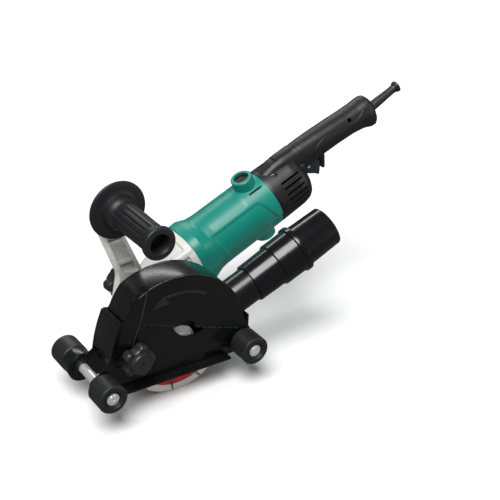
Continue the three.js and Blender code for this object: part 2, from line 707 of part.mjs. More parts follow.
const frontBearing = tube(FRONT_BEARING_Y, frontBearingEnd, SPINDLE_R + GAP, FRONT_BEARING_R);
add(assembly, "spindle_front_bearing", frontBearing, look.steel);
const rearBearing = tube(rearBearingY, rearBearingEnd, NEEDLE_BORE_R + GAP, NEEDLE_R);
add(assembly, "spindle_rear_bearing", rearBearing, look.steel);

// The blades sit on the inner flange's long sleeve, held apart by two spacers.
const threadClear = THREAD_R + GAP;
const innerFlange = turned([
  [innerFlangeY, threadClear],
  [innerFlangeY, FLANGE_R],
  [innerFlangeY + 4, FLANGE_R],
  [innerFlangeEnd, 15],
  [innerFlangeEnd, threadClear],
]);
const sleeve = tube(BLADE_Y - 1, innerFlangeY + 0.5, threadClear, BORE_R);
add(assembly, "inner_flange", innerFlange.add(sleeve), look.steel);
const spacerFrom = BLADE_Y + BLADE_THICK / 2 + GAP;
const spacerTo = lastBlade - BLADE_THICK / 2 - GAP;
const spacerMid = (spacerFrom + spacerTo) / 2;
const spacer = (y0, y1) => tube(y0, y1, BORE_R + GAP, FLANGE_R - 3);
add(assembly, "spacer_near", spacer(spacerFrom, spacerMid - GAP / 2), look.steel);
add(assembly, "spacer_far", spacer(spacerMid + GAP / 2, spacerTo), look.steel);
const nutEnd = BLADE_Y - BLADE_THICK / 2 - 0.4;
const nutBody = turned([
  [0.6, threadClear],
  [0.6, 13],
  [2.6, 13],
  [3.2, FLANGE_R],
  [nutEnd, FLANGE_R],
  [nutEnd, threadClear],
]);
add(assembly, "flange_nut", nutBody, look.steel);

// A steel disc with radial slots that end in round keyholes, and a thicker rim of segments.
function blade() {
  const r = BLADE_D / 2;
  const coreR = r - SEGMENT_H;
  const slotFoot = coreR - SLOT_DEPTH;
  const core = tube(-CORE_THICK / 2, CORE_THICK / 2, BORE_R + GAP, coreR + 0.5, 3 * SEGMENTS);
  const rim = tube(-BLADE_THICK / 2, BLADE_THICK / 2, coreR, r, 3 * SEGMENTS);
  const cuts = [];
  for (let i = 0; i < SEGMENTS; i++) {
    const slot = block(-SLOT_W, BLADE_D / 2, -BLADE_THICK, BLADE_THICK, -SLOT_W / 2, SLOT_W / 2);
    const leaning = slot.rotate([0, -SLOT_LEAN, 0]).translate([slotFoot, 0, 0]);
    cuts.push(leaning.rotate([0, (360 / SEGMENTS) * i, 0]));
  }
  return core.add(rim).subtract(sum(...cuts));
}
add(assembly, "blade_near", blade(), look.red).position.y = BLADE_Y;
add(assembly, "blade_far", blade(), look.red).position.y = lastBlade;

// ---- Motor: housing, armature, stator and brushes (in the motor's own frame) ---------------------
function brushBosses(z0, z1, r) {
  const boss = disc(z0, z1, r).rotate([90, 0, 0]).translate([BRUSH_X, 0, 0]);
  return boss.add(disc(z0, z1, r).rotate([-90, 0, 0]).translate([BRUSH_X, 0, 0]));
}

function motorHousing() {
  const x0 = MOTOR_FRONT;
  const x1 = MOTOR_REAR - GAP;
  const profile = [
    [x0, 0],
    [x0, MOTOR_R + 2.5],
    [x0 + 14, MOTOR_R + 3],
    [x0 + 24, MOTOR_R],
    [x1, MOTOR_R],
    [x1, 0],
  ];
  const bossed = alongX(turned(profile, 28)).add(brushBosses(20, BRUSH_BOSS_TOP, BRUSH_BOSS_R));
  const inside = alongX(disc(x0 - CUT, x1 + CUT, MOTOR_R - MOTOR_WALL, 20));
  const bores = brushBosses(10, BRUSH_BOSS_TOP + CUT, BRUSH_CAP_R + 0.4);
  const vents = [];
  for (const side of [-1, 1]) {
    for (let i = 0; i < 2; i++) {
      vents.push(block(209, 212, side * 25 - 20, side * 25 + 20, -12 + 14 * i, -2 + 14 * i));
    }
  }
  return bossed.subtract(inside).subtract(bores).subtract(sum(...vents));
}
add(motorGroup, "motor_housing", motorHousing(), look.teal);

for (const [name, side] of [["upper", 1], ["lower", -1]]) {
  const place = (body) => body.rotate([side * 90, 0, 0]).translate([BRUSH_X, 0, 0]);
  const lid = disc(38, BRUSH_BOSS_TOP + 1, BRUSH_CAP_R);
  const rim = tube(BRUSH_BOSS_TOP + 0.4, BRUSH_BOSS_TOP + 2, 3, BRUSH_CAP_R + 1.4);
  add(motorGroup, `brush_cap_${name}`, place(lid.add(rim)), look.blackPlastic);
  const holder = block(-4.5, 4.5, 17, 36, -7, 7).subtract(block(-3.3, 3.3, 16, 37, -5.3, 5.3));
  add(motorGroup, `brush_holder_${name}`, place(holder), look.copper);
  const carbon = block(-3, 3, brushReach, 33, -5, 5);
  add(motorGroup, `carbon_brush_${name}`, place(carbon), look.carbon);
}

// Everything on the armature shaft clears it by the gap, so a ring is stated by its ends and radius.
const shaftClear = SHAFT_R + GAP;
const onShaft = (name, x0, x1, r, material) =>
  add(motorGroup, name, alongX(tube(x0, x1, shaftClear, r)), material);
add(motorGroup, "armature_shaft", alongX(disc(14, MOTOR_REAR - 1.5, SHAFT_R)), look.steel);
onShaft("motor_front_bearing", 76, 87, MOTOR_BEARING_R, look.steel);
onShaft("motor_rear_bearing", MOTOR_REAR - 11, MOTOR_REAR - 3, 11, look.steel);
onShaft("armature_core", ARMATURE_FROM, ARMATURE_TO, ARMATURE_R, look.copper);
onShaft("commutator", BRUSH_X - COMMUTATOR_HALF, BRUSH_X + COMMUTATOR_HALF, COMMUTATOR_R, look.copper);
const stator = tube(ARMATURE_FROM - 3, ARMATURE_TO + 3, ARMATURE_R + 1, MOTOR_R - MOTOR_WALL - GAP, 20);
add(motorGroup, "stator_core", alongX(stator), look.steel);

const pinionFrom = GEAR_R - TOOTH_FACE;
const pinion = turned([
  [pinionFrom, shaftClear],
  [pinionFrom, pinionFrom / bevel],
  [GEAR_R, GEAR_R / bevel],
  [GEAR_R + 3, GEAR_R / bevel - 1],
  [GEAR_R + 3, shaftClear],
]);
add(motorGroup, "bevel_pinion", alongX(pinion), look.steel);

function fan() {
  const hub = tube(FAN_AT - 14, FAN_AT + 2, shaftClear, 10);
  const back = tube(FAN_AT - 2, FAN_AT, 9, fanR);
  const blades = [];
  for (let i = 0; i < FAN_BLADES; i++) {
    const vane = block(9, fanR - 1, FAN_AT - 13, FAN_AT - 1, -0.8, 0.8);
    blades.push(vane.rotate([0, (360 / FAN_BLADES) * i, 0]));
  }
  return sum(hub, back, ...blades);
}
add(motorGroup, "cooling_fan", alongX(fan()), look.greyPlastic);

// ---- Rear housing and grip, two halves (in the motor's own frame) --------------------------------
function rearHousing() {
  const bulge = [
    [MOTOR_REAR, 0],
    [MOTOR_REAR, MOTOR_R],
    [BULGE_REAR - 14, MOTOR_R - 1],
    [BULGE_REAR - 4, MOTOR_R - 6],
    [BULGE_REAR, MOTOR_R - 14],
    [BULGE_REAR, 0],
  ];
  const gripFrom = BULGE_REAR - 31;
  const grip = [
    [gripFrom, 0],
    [gripFrom, GRIP_R],
    [GRIP_REAR - 10, GRIP_R],
    [GRIP_REAR - 3, GRIP_R - 5],
    [GRIP_REAR, GRIP_R - 12],
    [GRIP_REAR, 0],
  ];
  const outside = sum(
    alongX(turned(bulge, 28)),
    block(BULGE_REAR - 40, BULGE_REAR - 4, -12, 12, 20, MOTOR_R + 6),
    alongX(turned(grip, 20)).translate([0, 0, GRIP_UP]),
    block(GRIP_REAR - 14, GRIP_REAR, -9, 9, -2, GRIP_UP),
  );
  const cordHole = alongX(disc(GRIP_REAR - 16, GRIP_REAR + CUT, 6));
  const gripSpace = alongX(disc(gripFrom + 2, GRIP_REAR - 6, GRIP_R - GRIP_WALL));
  const inside = sum(
    alongX(disc(MOTOR_REAR - CUT, BULGE_REAR - 4, MOTOR_R - 8, 20)),
    alongX(disc(MOTOR_REAR - CUT, BULGE_REAR - 16, MOTOR_R - GRIP_WALL, 20)),
    gripSpace.translate([0, 0, GRIP_UP]),
    cordHole.translate([0, 0, GRIP_UP - CORD_GUARD_DROP]),
    block(TRIGGER_FROM, TRIGGER_TO, -TRIGGER_HALF - 0.7, TRIGGER_HALF + 0.7, -20, GRIP_UP),
    disc(-40, 0, BUTTON_R + GAP).translate(BUTTON_PLACE),
  );
  const vents = [];
  for (let i = 0; i < VENTS; i++) {
    const height = VENT_TOP - VENT_PITCH * i;
    vents.push(block(MOTOR_REAR + 12, BULGE_REAR - 15, -60, 60, height, height + 3));
  }
  const hook = plate(
    [
      [TRIGGER_TO, 8],
      [TRIGGER_TO + 0.5, -4],
      [TRIGGER_TO - 0.5, -14],
      [TRIGGER_TO + 3, -14],
      [TRIGGER_TO + 9, 3],
      [TRIGGER_TO + 9, 8],
    ],
    -TRIGGER_HALF,
    TRIGGER_HALF,
  );
  return outside.subtract(inside).subtract(sum(...vents)).add(hook);
}
const rear = rearHousing();
const FAR_AWAY = 500;
for (const [side, y0, y1] of [["near", -FAR_AWAY, -GAP / 2], ["far", GAP / 2, FAR_AWAY]]) {
  const half = rear.intersect(block(0, FAR_AWAY, y0, y1, -FAR_AWAY, FAR_AWAY));
  add(motorGroup, `rear_housing_${side}`, half, look.blackPlastic);
}

const triggerBody = plate(
  [
    [TRIGGER_FROM + 2, 11],
    [TRIGGER_FROM + 3, 1],
    [287, -4],
    [299, -12.7],
    [304.6, -18.8],
    [308, -12.6],
    [TRIGGER_TO - 2.5, -6],
    [TRIGGER_TO - 1, 2],
    [300, 11],
  ],
  -TRIGGER_HALF,
  TRIGGER_HALF,
);
const pinHole = pinAt(TRIGGER_PIVOT, -TRIGGER_HALF - CUT, TRIGGER_HALF + CUT, PIN_R + GAP);
add(motorGroup, "trigger", triggerBody.subtract(pinHole), look.darkBlue);
const triggerPin = pinAt(TRIGGER_PIVOT, -TRIGGER_HALF - 0.4, TRIGGER_HALF + 0.4, PIN_R);
add(motorGroup, "trigger_pin", triggerPin, look.steel);
add(motorGroup, "lock_button", disc(-21.5, -11, BUTTON_R).translate(BUTTON_PLACE), look.darkBlue);
add(motorGroup, "switch_body", block(288, 326, -8, 8, 16, 31), look.greyPlastic);
const cordGuard = turned([
  [-12, 3.2],
  [-12, 5],
  [0, 5],
  [0.5, 7.5],
  [6, 7.2],
  [CORD_GUARD_LENGTH - 8, 4.9],
  [CORD_GUARD_LENGTH - 4, 7],
  [CORD_GUARD_LENGTH, 7.2],
  [CORD_GUARD_LENGTH, 3.2],
]);
const cordGuardMesh = add(motorGroup, "cord_guard", alongX(cordGuard), look.blackPlastic);
cordGuardMesh.position.set(GRIP_REAR + GAP, 0, GRIP_UP - CORD_GUARD_DROP);
cordGuardMesh.rotation.y = -rad(CORD_GUARD_RISE);

export default assembly;
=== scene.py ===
import json
import math

import bmesh
import bpy
from mathutils import Matrix, Vector, noise


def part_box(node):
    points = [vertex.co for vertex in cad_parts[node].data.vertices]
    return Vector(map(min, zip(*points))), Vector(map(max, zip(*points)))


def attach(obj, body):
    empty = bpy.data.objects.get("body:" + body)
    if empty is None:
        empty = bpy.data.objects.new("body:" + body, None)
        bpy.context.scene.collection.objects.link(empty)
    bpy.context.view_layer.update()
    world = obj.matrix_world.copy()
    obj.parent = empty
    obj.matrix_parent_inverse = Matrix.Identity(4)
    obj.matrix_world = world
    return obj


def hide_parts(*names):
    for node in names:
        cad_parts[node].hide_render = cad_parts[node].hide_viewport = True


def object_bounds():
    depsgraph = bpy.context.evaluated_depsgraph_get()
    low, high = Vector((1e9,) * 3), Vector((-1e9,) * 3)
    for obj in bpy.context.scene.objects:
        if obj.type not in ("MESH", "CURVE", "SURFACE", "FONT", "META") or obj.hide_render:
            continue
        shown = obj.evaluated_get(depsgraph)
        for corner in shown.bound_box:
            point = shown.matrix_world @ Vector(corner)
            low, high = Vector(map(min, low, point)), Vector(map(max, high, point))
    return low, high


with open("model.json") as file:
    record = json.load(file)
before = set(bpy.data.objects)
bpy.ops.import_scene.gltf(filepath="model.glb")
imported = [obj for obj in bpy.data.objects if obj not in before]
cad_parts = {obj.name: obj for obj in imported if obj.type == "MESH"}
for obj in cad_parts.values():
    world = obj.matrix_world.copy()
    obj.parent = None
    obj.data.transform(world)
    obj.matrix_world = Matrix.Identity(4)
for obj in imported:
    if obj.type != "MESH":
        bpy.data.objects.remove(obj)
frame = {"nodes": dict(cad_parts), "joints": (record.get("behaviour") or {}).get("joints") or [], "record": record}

cad_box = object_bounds()

# ---- Sizes, in millimetres, in the frame's own axes ----
MM = 0.001
SHEET = 2.5  # steel sheet of the guard and the base
GAP = 0.3
AXLE_R = 6.0
ROLLER_R = 18.0
GUARD_R = 97.5
GUARD_CENTRE = (-10.5, -2.0)
HOOD_FROM = 8  # degrees
TAIL_R = 176.5
TAIL_TO = 176
SHELL_R = 181.5
SHELL_FROM = 155.5
SHELL_TO = 173
CLAMP_R = 153.5
FAR_CLAMP_R = 143.0
EAR_R = 13.0
LIP_FRONT = (-48.4, 43.9)
LIP_REAR = (94.7, -6.3)
RIDE_GAP = 2.0
TILT_UP = 17
TILT_DOWN = 5
NECK_R = 22.5
KNOB_R = 21.0
KNOB_LENGTH = 22.0
BOLT_HOLE_R = 3.3
WINDOW_AT = (14, 37)  # opening in the base's near plate
WINDOW_R = 28
NOTCH_AT = (3, 20)  # opening in the guard's lower edge
NOTCH_R = 14
SPOUT_R = 22.5
BLADE_R = 70.0
SEGMENTS = 11
SEGMENT_H = 7.0
SLOT_DEPTH = 7.0
SLOT_LEAN = 18
BORE_R = 11.0
MOTOR_R = 38.5
MOTOR_FRONT = 92.0
MOTOR_REAR = 222.0
BULGE_REAR = 281.0
BRUSH_X = 202.0
BRUSH_BOSS_R = 14.5
BRUSH_BOSS_TOP = 51.0
GRIP_UP = 20.5
GRIP_REAR = 413.0
HANDLE_RING_R = 19.5
HANDLE_GRIP_R = 15.5
HANDLE_DISC_R = 35.0
GEARBOX_R = 29.5

# ---- Places, from the frame ----
joints = {joint["name"]: joint for joint in frame["joints"]}


def joint_place(name):
    return Vector(joints[name]["pos_m"]) / MM


def joint_axis(name):
    return Vector(joints[name]["axis"])


def node_box(name):
    low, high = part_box(name)
    return low / MM, high / MM


def along(point, direction):
    """A frame with its X along a direction and its Z as near upright as it can be."""
    x = Vector(direction).normalized()
    y = Vector((0, 0, 1)).cross(x).normalized()
    z = x.cross(y)
    turn = Matrix((x, y, z)).transposed().to_4x4()
    return Matrix.Translation(Vector(point)) @ turn


rear_axle = joint_place("depth_tilt")
front_axle = joint_place("roller_front_near_spin")
REAR = (rear_axle.x, rear_axle.z)
FRONT = (front_axle.x, front_axle.z)
near_knob = joint_place("near_knob_turn")
far_knob = joint_place("far_knob_turn")
motor = along(joint_place("armature_spin"), joint_axis("armature_spin"))
duct = along(joint_place("cuff_swivel"), joint_axis("cuff_swivel"))
handle_low, handle_high = node_box("side_handle")
handle_x = (handle_low.x + handle_high.x) / 2
handle_z = (handle_low.z + handle_high.z) / 2
near_face = node_box("guard_near_plate")[0].y
far_face = node_box("guard_far_plate")[1].y
base_near_y = node_box("base_near_plate")[1].y - SHEET
sole_y = node_box("base_near_plate")[0].y
base_far_y = node_box("base_far_plate")[0].y
far_knob_angle = math.degrees(math.atan2(far_knob.z - REAR[1], far_knob.x - REAR[0]))
base_low = REAR[1] - ROLLER_R + RIDE_GAP
wrap_far = far_face - SHEET - GAP
flank_y = base_near_y + SHEET + GAP


def spin(x, z, y=0.0):
    """A frame with its X along the machine's +Y, through a point of the side view."""
    return along((x, y, z), (0, 1, 0))


# ---- Outlines ----
def arc(centre, radius, start, end, steps):
    points = []
    for i in range(steps + 1):
        angle = math.radians(start + (end - start) * i / steps)
        points.append((centre[0] + radius * math.cos(angle), centre[1] + radius * math.sin(angle)))
    return points


def about_pivot(radius, degrees):
    return arc(REAR, radius, degrees, degrees, 1)[0]


def sweep_pivot(radius, start, end, steps):
    return arc(REAR, radius, start, end, steps)


def rounded(points, radius, steps=3):
    """The closed outline with its sharp corners turned into short curves."""
    smooth = []
    for i, point in enumerate(points):
        here = Vector(point)
        before = Vector(points[i - 1]) - here
        after = Vector(points[(i + 1) % len(points)]) - here
        if before.length < 1e-6 or after.length < 1e-6:
            continue
        if before.angle(after) > math.radians(155):
            smooth.append(here)
            continue
        reach = min(radius, before.length * 0.45, after.length * 0.45)
        start = here + before.normalized() * reach
        end = here + after.normalized() * reach
        for k in range(steps + 1):
            t = k / steps
            smooth.append(start * (1 - t) ** 2 + here * 2 * t * (1 - t) + end * t * t)
    return smooth


def tail_start():
    """Where the hood, about its own centre, meets its front skirt, about the rear axle: two angles."""
    dx, dz = REAR[0] - GUARD_CENTRE[0], REAR[1] - GUARD_CENTRE[1]
    d = math.hypot(dx, dz)
    turn = math.acos((d * d + GUARD_R**2 - TAIL_R**2) / (2 * d * GUARD_R))
    a = math.atan2(dz, dx) + turn
    x = GUARD_CENTRE[0] + GUARD_R * math.cos(a)
    z = GUARD_CENTRE[1] + GUARD_R * math.sin(a)
    return math.degrees(a), math.degrees(math.atan2(z - REAR[1], x - REAR[0]))


hood_end, tail_deg = tail_start()
lip_deg = math.degrees(math.atan2(LIP_FRONT[1] - LIP_REAR[1], LIP_FRONT[0] - LIP_REAR[0]))


# ---- Mesh building ----
def from_bmesh(name, bm, place=None):
    to_world = Matrix.Scale(MM, 4) @ (place or Matrix.Identity(4))
    bmesh.ops.transform(bm, matrix=to_world, verts=bm.verts)
    bmesh.ops.recalc_face_normals(bm, faces=bm.faces)
    mesh = bpy.data.meshes.new(name)
    bm.to_mesh(mesh)
    bm.free()
    piece = bpy.data.objects.new(name, mesh)
    bpy.context.scene.collection.objects.link(piece)
    return piece


def bridge(bm, ring, other):
    count = max(len(ring), len(other))
    if count == 1:
        return
    for k in range(count):
        corners = []
        after = k + 1
        for vert in (ring[k % len(ring)], ring[after % len(ring)], other[after % len(other)],
                     other[k % len(other)]):
            if vert not in corners:
                corners.append(vert)
        bm.faces.new(corners)


def skinned(name, bm, rings, place=None):
    """Joins a row of rings and closes both ends."""
    for ring, other in zip(rings, rings[1:]):
        bridge(bm, ring, other)
    bm.faces.new(rings[0])
    bm.faces.new(rings[-1])
    return from_bmesh(name, bm, place)


def lathe(name, profile, place, sides=72, shape=None):
    """A closed [axial, radius] outline turned about the place's X. shape(angle) may scale the radius."""
    bm = bmesh.new()
    rings = []
    for axial, radius in profile:
        if radius < 1e-6:
            rings.append([bm.verts.new((axial, 0, 0))])
            continue
        ring = []
        for k in range(sides):
            angle = 2 * math.pi * k / sides
            r = radius * (shape(axial, radius, angle) if shape else 1)
            ring.append(bm.verts.new((axial, r * math.cos(angle), r * math.sin(angle))))
        rings.append(ring)
    for i, ring in enumerate(rings):
        bridge(bm, ring, rings[(i + 1) % len(rings)])
    return from_bmesh(name, bm, place)


def disc(name, start, end, radius, place, sides=48, edge=0.0):
    profile = [(start, 0), (start, radius), (end, radius), (end, 0)]
    if edge:
        profile = [(start, 0), (start, radius - edge), (start + edge, radius), (end - edge, radius),
                   (end, radius - edge), (end, 0)]
    return lathe(name, profile, place, sides)


def prism(name, outline, y0, y1, place=None):
    """A side-view [x, z] outline between two Y planes."""
    bm = bmesh.new()
    rings = [[bm.verts.new((x, y, z)) for x, z in outline] for y in (y0, y1)]
    return skinned(name, bm, rings, place)


def block(name, x0, x1, y0, y1, z0, z1, place=None):
    return prism(name, [(x0, z0), (x1, z0), (x1, z1), (x0, z1)], y0, y1, place)


def swept(name, section, centre, start, end, steps):
    """A closed [radius, y] section swept about the Y direction through a centre."""
    bm = bmesh.new()
    rings = []
    for i in range(steps + 1):
        angle = math.radians(start + (end - start) * i / steps)
        c, s = math.cos(angle), math.sin(angle)
        rings.append([bm.verts.new((centre[0] + r * c, y, centre[1] + r * s)) for r, y in section])
    return skinned(name, bm, rings)


def section_at(sections, x):
    """The section [x, half width, half height, exponent, centre height] at x, between its neighbours."""
    if x <= sections[0][0]:
        return sections[0]
    for low, high in zip(sections, sections[1:]):
        if x <= high[0]:
            t = (x - low[0]) / (high[0] - low[0])
            return [a + (b - a) * t for a, b in zip(low, high)]
    return sections[-1]


def skin_point(sections, x, degrees, lift=0.0, dent=None):
    """A point on a lofted body's skin. 0 degrees faces the near side and 90 is the top."""
    _, half_y, half_z, power, up = section_at(sections, x)
    angle = math.radians(degrees)
    c, s = math.cos(angle), math.sin(angle)
    y = -math.copysign(abs(c) ** (2 / power), c) * (half_y + lift)
    z = math.copysign(abs(s) ** (2 / power), s) * (half_z + lift)
    if dent:
        scale = 1 - dent(x, degrees) / max(math.hypot(y, z), 1)
        y, z = y * scale, z * scale
    return Vector((x, y, up + z))


def loft(name, sections, place, stations, around=96, dent=None):
    bm = bmesh.new()
    rings = []
    for x in stations:
        ring = []
        for k in range(around):
            degrees = 360 * k / around - 180
            ring.append(bm.verts.new(skin_point(sections, x, degrees, 0, dent)))
        rings.append(ring)
    return skinned(name, bm, rings, place)


def steps_between(start, end, count):
    return [start + (end - start) * i / count for i in range(count + 1)]


def smooth_path(points, per_span=6):
    """A Catmull-Rom curve through points."""
    path = []
    padded = [points[0] * 2 - points[1], *points, points[-1] * 2 - points[-2]]
    for a, b, c, d in zip(padded, padded[1:], padded[2:], padded[3:]):
        for k in range(per_span):
            t = k / per_span
            curve = (2 * a - 5 * b + 4 * c - d) * t**2 + (3 * b - a - 3 * c + d) * t**3
            path.append(0.5 * (2 * b + (c - a) * t + curve))
    path.append(points[-1])
    return path


def cord_of(name, path, radius, place=None, sides=8, wobble=0.0):
    """A closed round bead along a path. wobble makes its thickness uneven, as on a weld."""
    bm = bmesh.new()
    rings = []
    for i, point in enumerate(path):
        ahead = path[min(i + 1, len(path) - 1)] - path[max(i - 1, 0)]
        x = ahead.normalized()
        y = x.orthogonal().normalized() if abs(x.y) > 0.9 else Vector((0, 1, 0)).cross(x).normalized()
        z = x.cross(y)
        r = radius * (1 + wobble * math.sin(i * 1.9) + wobble * noise.noise(point * 0.7))
        ring = []
        for k in range(sides):
            angle = 2 * math.pi * k / sides
            ring.append(bm.verts.new(point + (y * math.cos(angle) + z * math.sin(angle)) * r))
        rings.append(ring)
    return skinned(name, bm, rings, place)


def in_plane(points, y):
    """Side-view [x, z] points as points in space."""
    return [Vector((x, y, z)) for x, z in points]


def settle(piece):
    """Makes a piece's modifiers part of its mesh."""
    bpy.context.view_layer.update()
    graph = bpy.context.evaluated_depsgraph_get()
    mesh = bpy.data.meshes.new_from_object(piece.evaluated_get(graph))
    piece.modifiers.clear()
    piece.data = mesh
    return piece


def combine(piece, operation, others):
    for other in others:
        modifier = piece.modifiers.new(operation, "BOOLEAN")
        modifier.operation = operation
        modifier.solver = "MANIFOLD"
        modifier.object = other
        settle(piece)
        bpy.data.objects.remove(other)
    return piece


def union(piece, *others):
    return combine(piece, "UNION", others)


def cut(piece, *others):
    return combine(piece, "DIFFERENCE", others)


def overlap(piece, *others):
    return combine(piece, "INTERSECT", others)


def bevel(piece, width, segments=2, angle=35):
    modifier = piece.modifiers.new("edge", "BEVEL")
    modifier.limit_method = "ANGLE"
    modifier.angle_limit = math.radians(angle)
    modifier.width = width * MM
    modifier.segments = segments
    modifier.use_clamp_overlap = True
    return settle(piece)


# ---- Materials ----
def surface(name, color, roughness, metallic=0.0, tint=0.1, smudge=0.08, grain=0.0, grain_scale=900,
            coat=0.0, wear=None, stretch=(1, 1, 1)):
    """A procedural finish: tone drift, uneven gloss, fine grain and sparse lighter scuffs."""
    material = bpy.data.materials.new(name)
    material.use_nodes = True
    nodes, links = material.node_tree.nodes, material.node_tree.links
    shader = nodes["Principled BSDF"]
    shader.inputs["Metallic"].default_value = metallic
    shader.inputs["Coat Weight"].default_value = coat
    shader.inputs["Coat Roughness"].default_value = 0.12
    coordinates = nodes.new("ShaderNodeTexCoord")
    mapping = nodes.new("ShaderNodeMapping")
    mapping.inputs["Scale"].default_value = stretch
    links.new(coordinates.outputs["Object"], mapping.inputs["Vector"])

    def noise_at(scale, detail):
        texture = nodes.new("ShaderNodeTexNoise")
        texture.inputs["Scale"].default_value = scale
        texture.inputs["Detail"].default_value = detail
        links.new(mapping.outputs["Vector"], texture.inputs["Vector"])
        return texture.outputs["Fac"]

    def mixed(factor, first, second):
        mix = nodes.new("ShaderNodeMix")
        mix.data_type = "RGBA"
        links.new(factor, mix.inputs["Factor"])
        for socket, value in ((mix.inputs["A"], first), (mix.inputs["B"], second)):
            if isinstance(value, tuple):
                socket.default_value = (*value, 1)
            else:
                links.new(value, socket)
        return mix.outputs["Result"]

    dark = tuple(c * (1 - tint) for c in color)
    light = tuple(min(c * (1 + tint), 1) for c in color)
    tone = mixed(noise_at(38, 4), dark, light)
    if wear:
        worn = nodes.new("ShaderNodeMapRange")
        worn.inputs["From Min"].default_value = 0.66
        worn.inputs["From Max"].default_value = 0.74
        worn.inputs["To Max"].default_value = 0.5
        links.new(noise_at(210, 8), worn.inputs["Value"])
        tone = mixed(worn.outputs["Result"], tone, wear)
    links.new(tone, shader.inputs["Base Color"])
    gloss = nodes.new("ShaderNodeMapRange")
    gloss.inputs["To Min"].default_value = max(roughness - smudge, 0.04)
    gloss.inputs["To Max"].default_value = roughness + smudge
    links.new(noise_at(95, 5), gloss.inputs["Value"])
    links.new(gloss.outputs["Result"], shader.inputs["Roughness"])
    if grain:
        bump = nodes.new("ShaderNodeBump")
        bump.inputs["Strength"].default_value = grain
        bump.inputs["Distance"].default_value = 0.0002
        links.new(noise_at(grain_scale, 3), bump.inputs["Height"])
        links.new(bump.outputs["Normal"], shader.inputs["Normal"])
    return material


looks = {
    "black_steel": surface("black paint on steel", (0.0035, 0.0037, 0.0042), 0.26, 0.0, 0.25, 0.06, 0.1,
                           260, 0.15,
                           (0.02, 0.021, 0.023)),
    "bright_steel": surface("turned steel", (0.72, 0.72, 0.72), 0.32, 0.6, 0.08, 0.1, 0.12, 500,
                            stretch=(1, 6, 1)),
    "roller_rubber": surface("roller rubber", (0.0115, 0.012, 0.013), 0.45, 0.0, 0.15, 0.08, 0.35, 1100,
                             wear=(0.035, 0.035, 0.037)),
    "black_plastic": surface("grained black plastic", (0.0062, 0.0063, 0.0068), 0.42, 0.0, 0.15, 0.07, 0.55,
                             1500,
                             wear=(0.02, 0.02, 0.022)),
    "duct_plastic": surface("gloss black plastic", (0.0035, 0.0036, 0.0044), 0.2, 0.0, 0.12, 0.05, 0.03,
                            220, 0.1),
    "grey_plastic": surface("dark grey plastic", (0.0095, 0.0098, 0.011), 0.46, 0.0, 0.12, 0.07, 0.5, 1400,
                            wear=(0.025, 0.026, 0.028)),
    "teal_plastic": surface("teal plastic", (0.0015, 0.215, 0.165), 0.38, 0.0, 0.07, 0.06, 0.18, 1300, 0.05,
                            (0.01, 0.28, 0.22)),
    "light_casting": surface("painted casting", (0.62, 0.62, 0.58), 0.42, 0.0, 0.05, 0.08, 0.4, 520, 0.1,
                             (0.8, 0.8, 0.78)),
    "blade_core": surface("red blade paint", (0.5, 0.012, 0.016), 0.35, 0.1, 0.1, 0.08, 0.15, 700),
    "segment": surface("diamond segment", (0.66, 0.63, 0.59), 0.6, 0.15, 0.3, 0.1, 1.0, 1900),
    "trigger_plastic": surface("blue-grey plastic", (0.012, 0.017, 0.023), 0.42, 0.0, 0.1, 0.06, 0.5, 1400,
                               wear=(0.03, 0.036, 0.042)),
    "winding_copper": surface("copper and brass", (0.5, 0.22, 0.08), 0.35, 1.0, 0.15, 0.1, 0.3, 600),
    "brush_carbon": surface("carbon", (0.02, 0.02, 0.021), 0.7, 0.0, 0.2, 0.1, 0.5, 900),
    # Lighter than the black paint as a painted highlight: thin lines where the guard's edges catch light.
    "painted_edge_highlight": surface("painted highlight at an edge", (0.05, 0.053, 0.056), 0.4, 0.2, 0.4, 0.1, 0.5, 700),
    # Same black paint as the plate, made lighter as a painted highlight on the raised arrow.
    "painted_arrow_highlight": surface("painted highlight on a raised mark", (0.014, 0.015, 0.0165), 0.3, 0.0, 0.25, 0.06, 0.2,
                            300),
    "knob_plastic": surface("moulded knob", (0.018, 0.018, 0.0195), 0.36, 0.0, 0.15, 0.07, 0.3, 1200),
}


def fit(piece, body, look, *nodes, slot=None, angle=35):
    """Gives a piece its finish, its body and the CAD nodes that it stands for."""
    piece.data.materials.clear()
    piece.data.materials.append(looks[look])
    piece.data.shade_smooth()
    piece.data.set_sharp_from_angle(angle=math.radians(angle))
    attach(piece, body)
    if nodes:
        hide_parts(*nodes)
    return piece


# Every CAD node that stays gets its slot's finish.
slot_of = {part["node"]: part["material_slot"] for part in frame["record"]["subparts"]}
for node_name, node in frame["nodes"].items():
    node.data.materials.clear()
    node.data.materials.append(looks[slot_of[node_name]])


# ---- Rollers and axles ----
def roller(end, side):
    name = f"roller_{end}_{side}"
    low, high = node_box(name)
    outer, inner = (low.y, high.y) if side == "near" else (high.y, low.y)
    toward = 1 if side == "near" else -1
    length = abs(inner - outer)
    profile = [
        (0, 12.2), (0, 16.2), (0.5, 17.2), (1.5, ROLLER_R), (length - 1.5, ROLLER_R), (length - 0.4, 17.2),
        (length, 16.4), (length, 9), (length - 1.5, 8.6), (length - 1.5, AXLE_R + GAP), (3.2, AXLE_R + GAP),
        (3.2, 9.2), (2.6, 9.6), (0.9, 10.2), (0.9, 11.8),
    ]
    place = along(((low.x + high.x) / 2, outer, (low.z + high.z) / 2), (0, toward, 0))
    fit(lathe(f"{name}_tyre", profile, place, 96), name, "roller_rubber", name)
    clip = [(1.9, AXLE_R + 0.15), (1.9, 7.6), (2.6, 7.6), (2.6, AXLE_R + 0.15)]
    fit(lathe(f"{name}_clip", clip, place, 48), name, "bright_steel")


def rod_place(node):
    """Where a round node along Y starts, its length and its radius."""
    low, high = node_box(node)
    place = along(((low.x + high.x) / 2, low.y, (low.z + high.z) / 2), (0, 1, 0))
    return place, high.y - low.y, (high.x - low.x) / 2


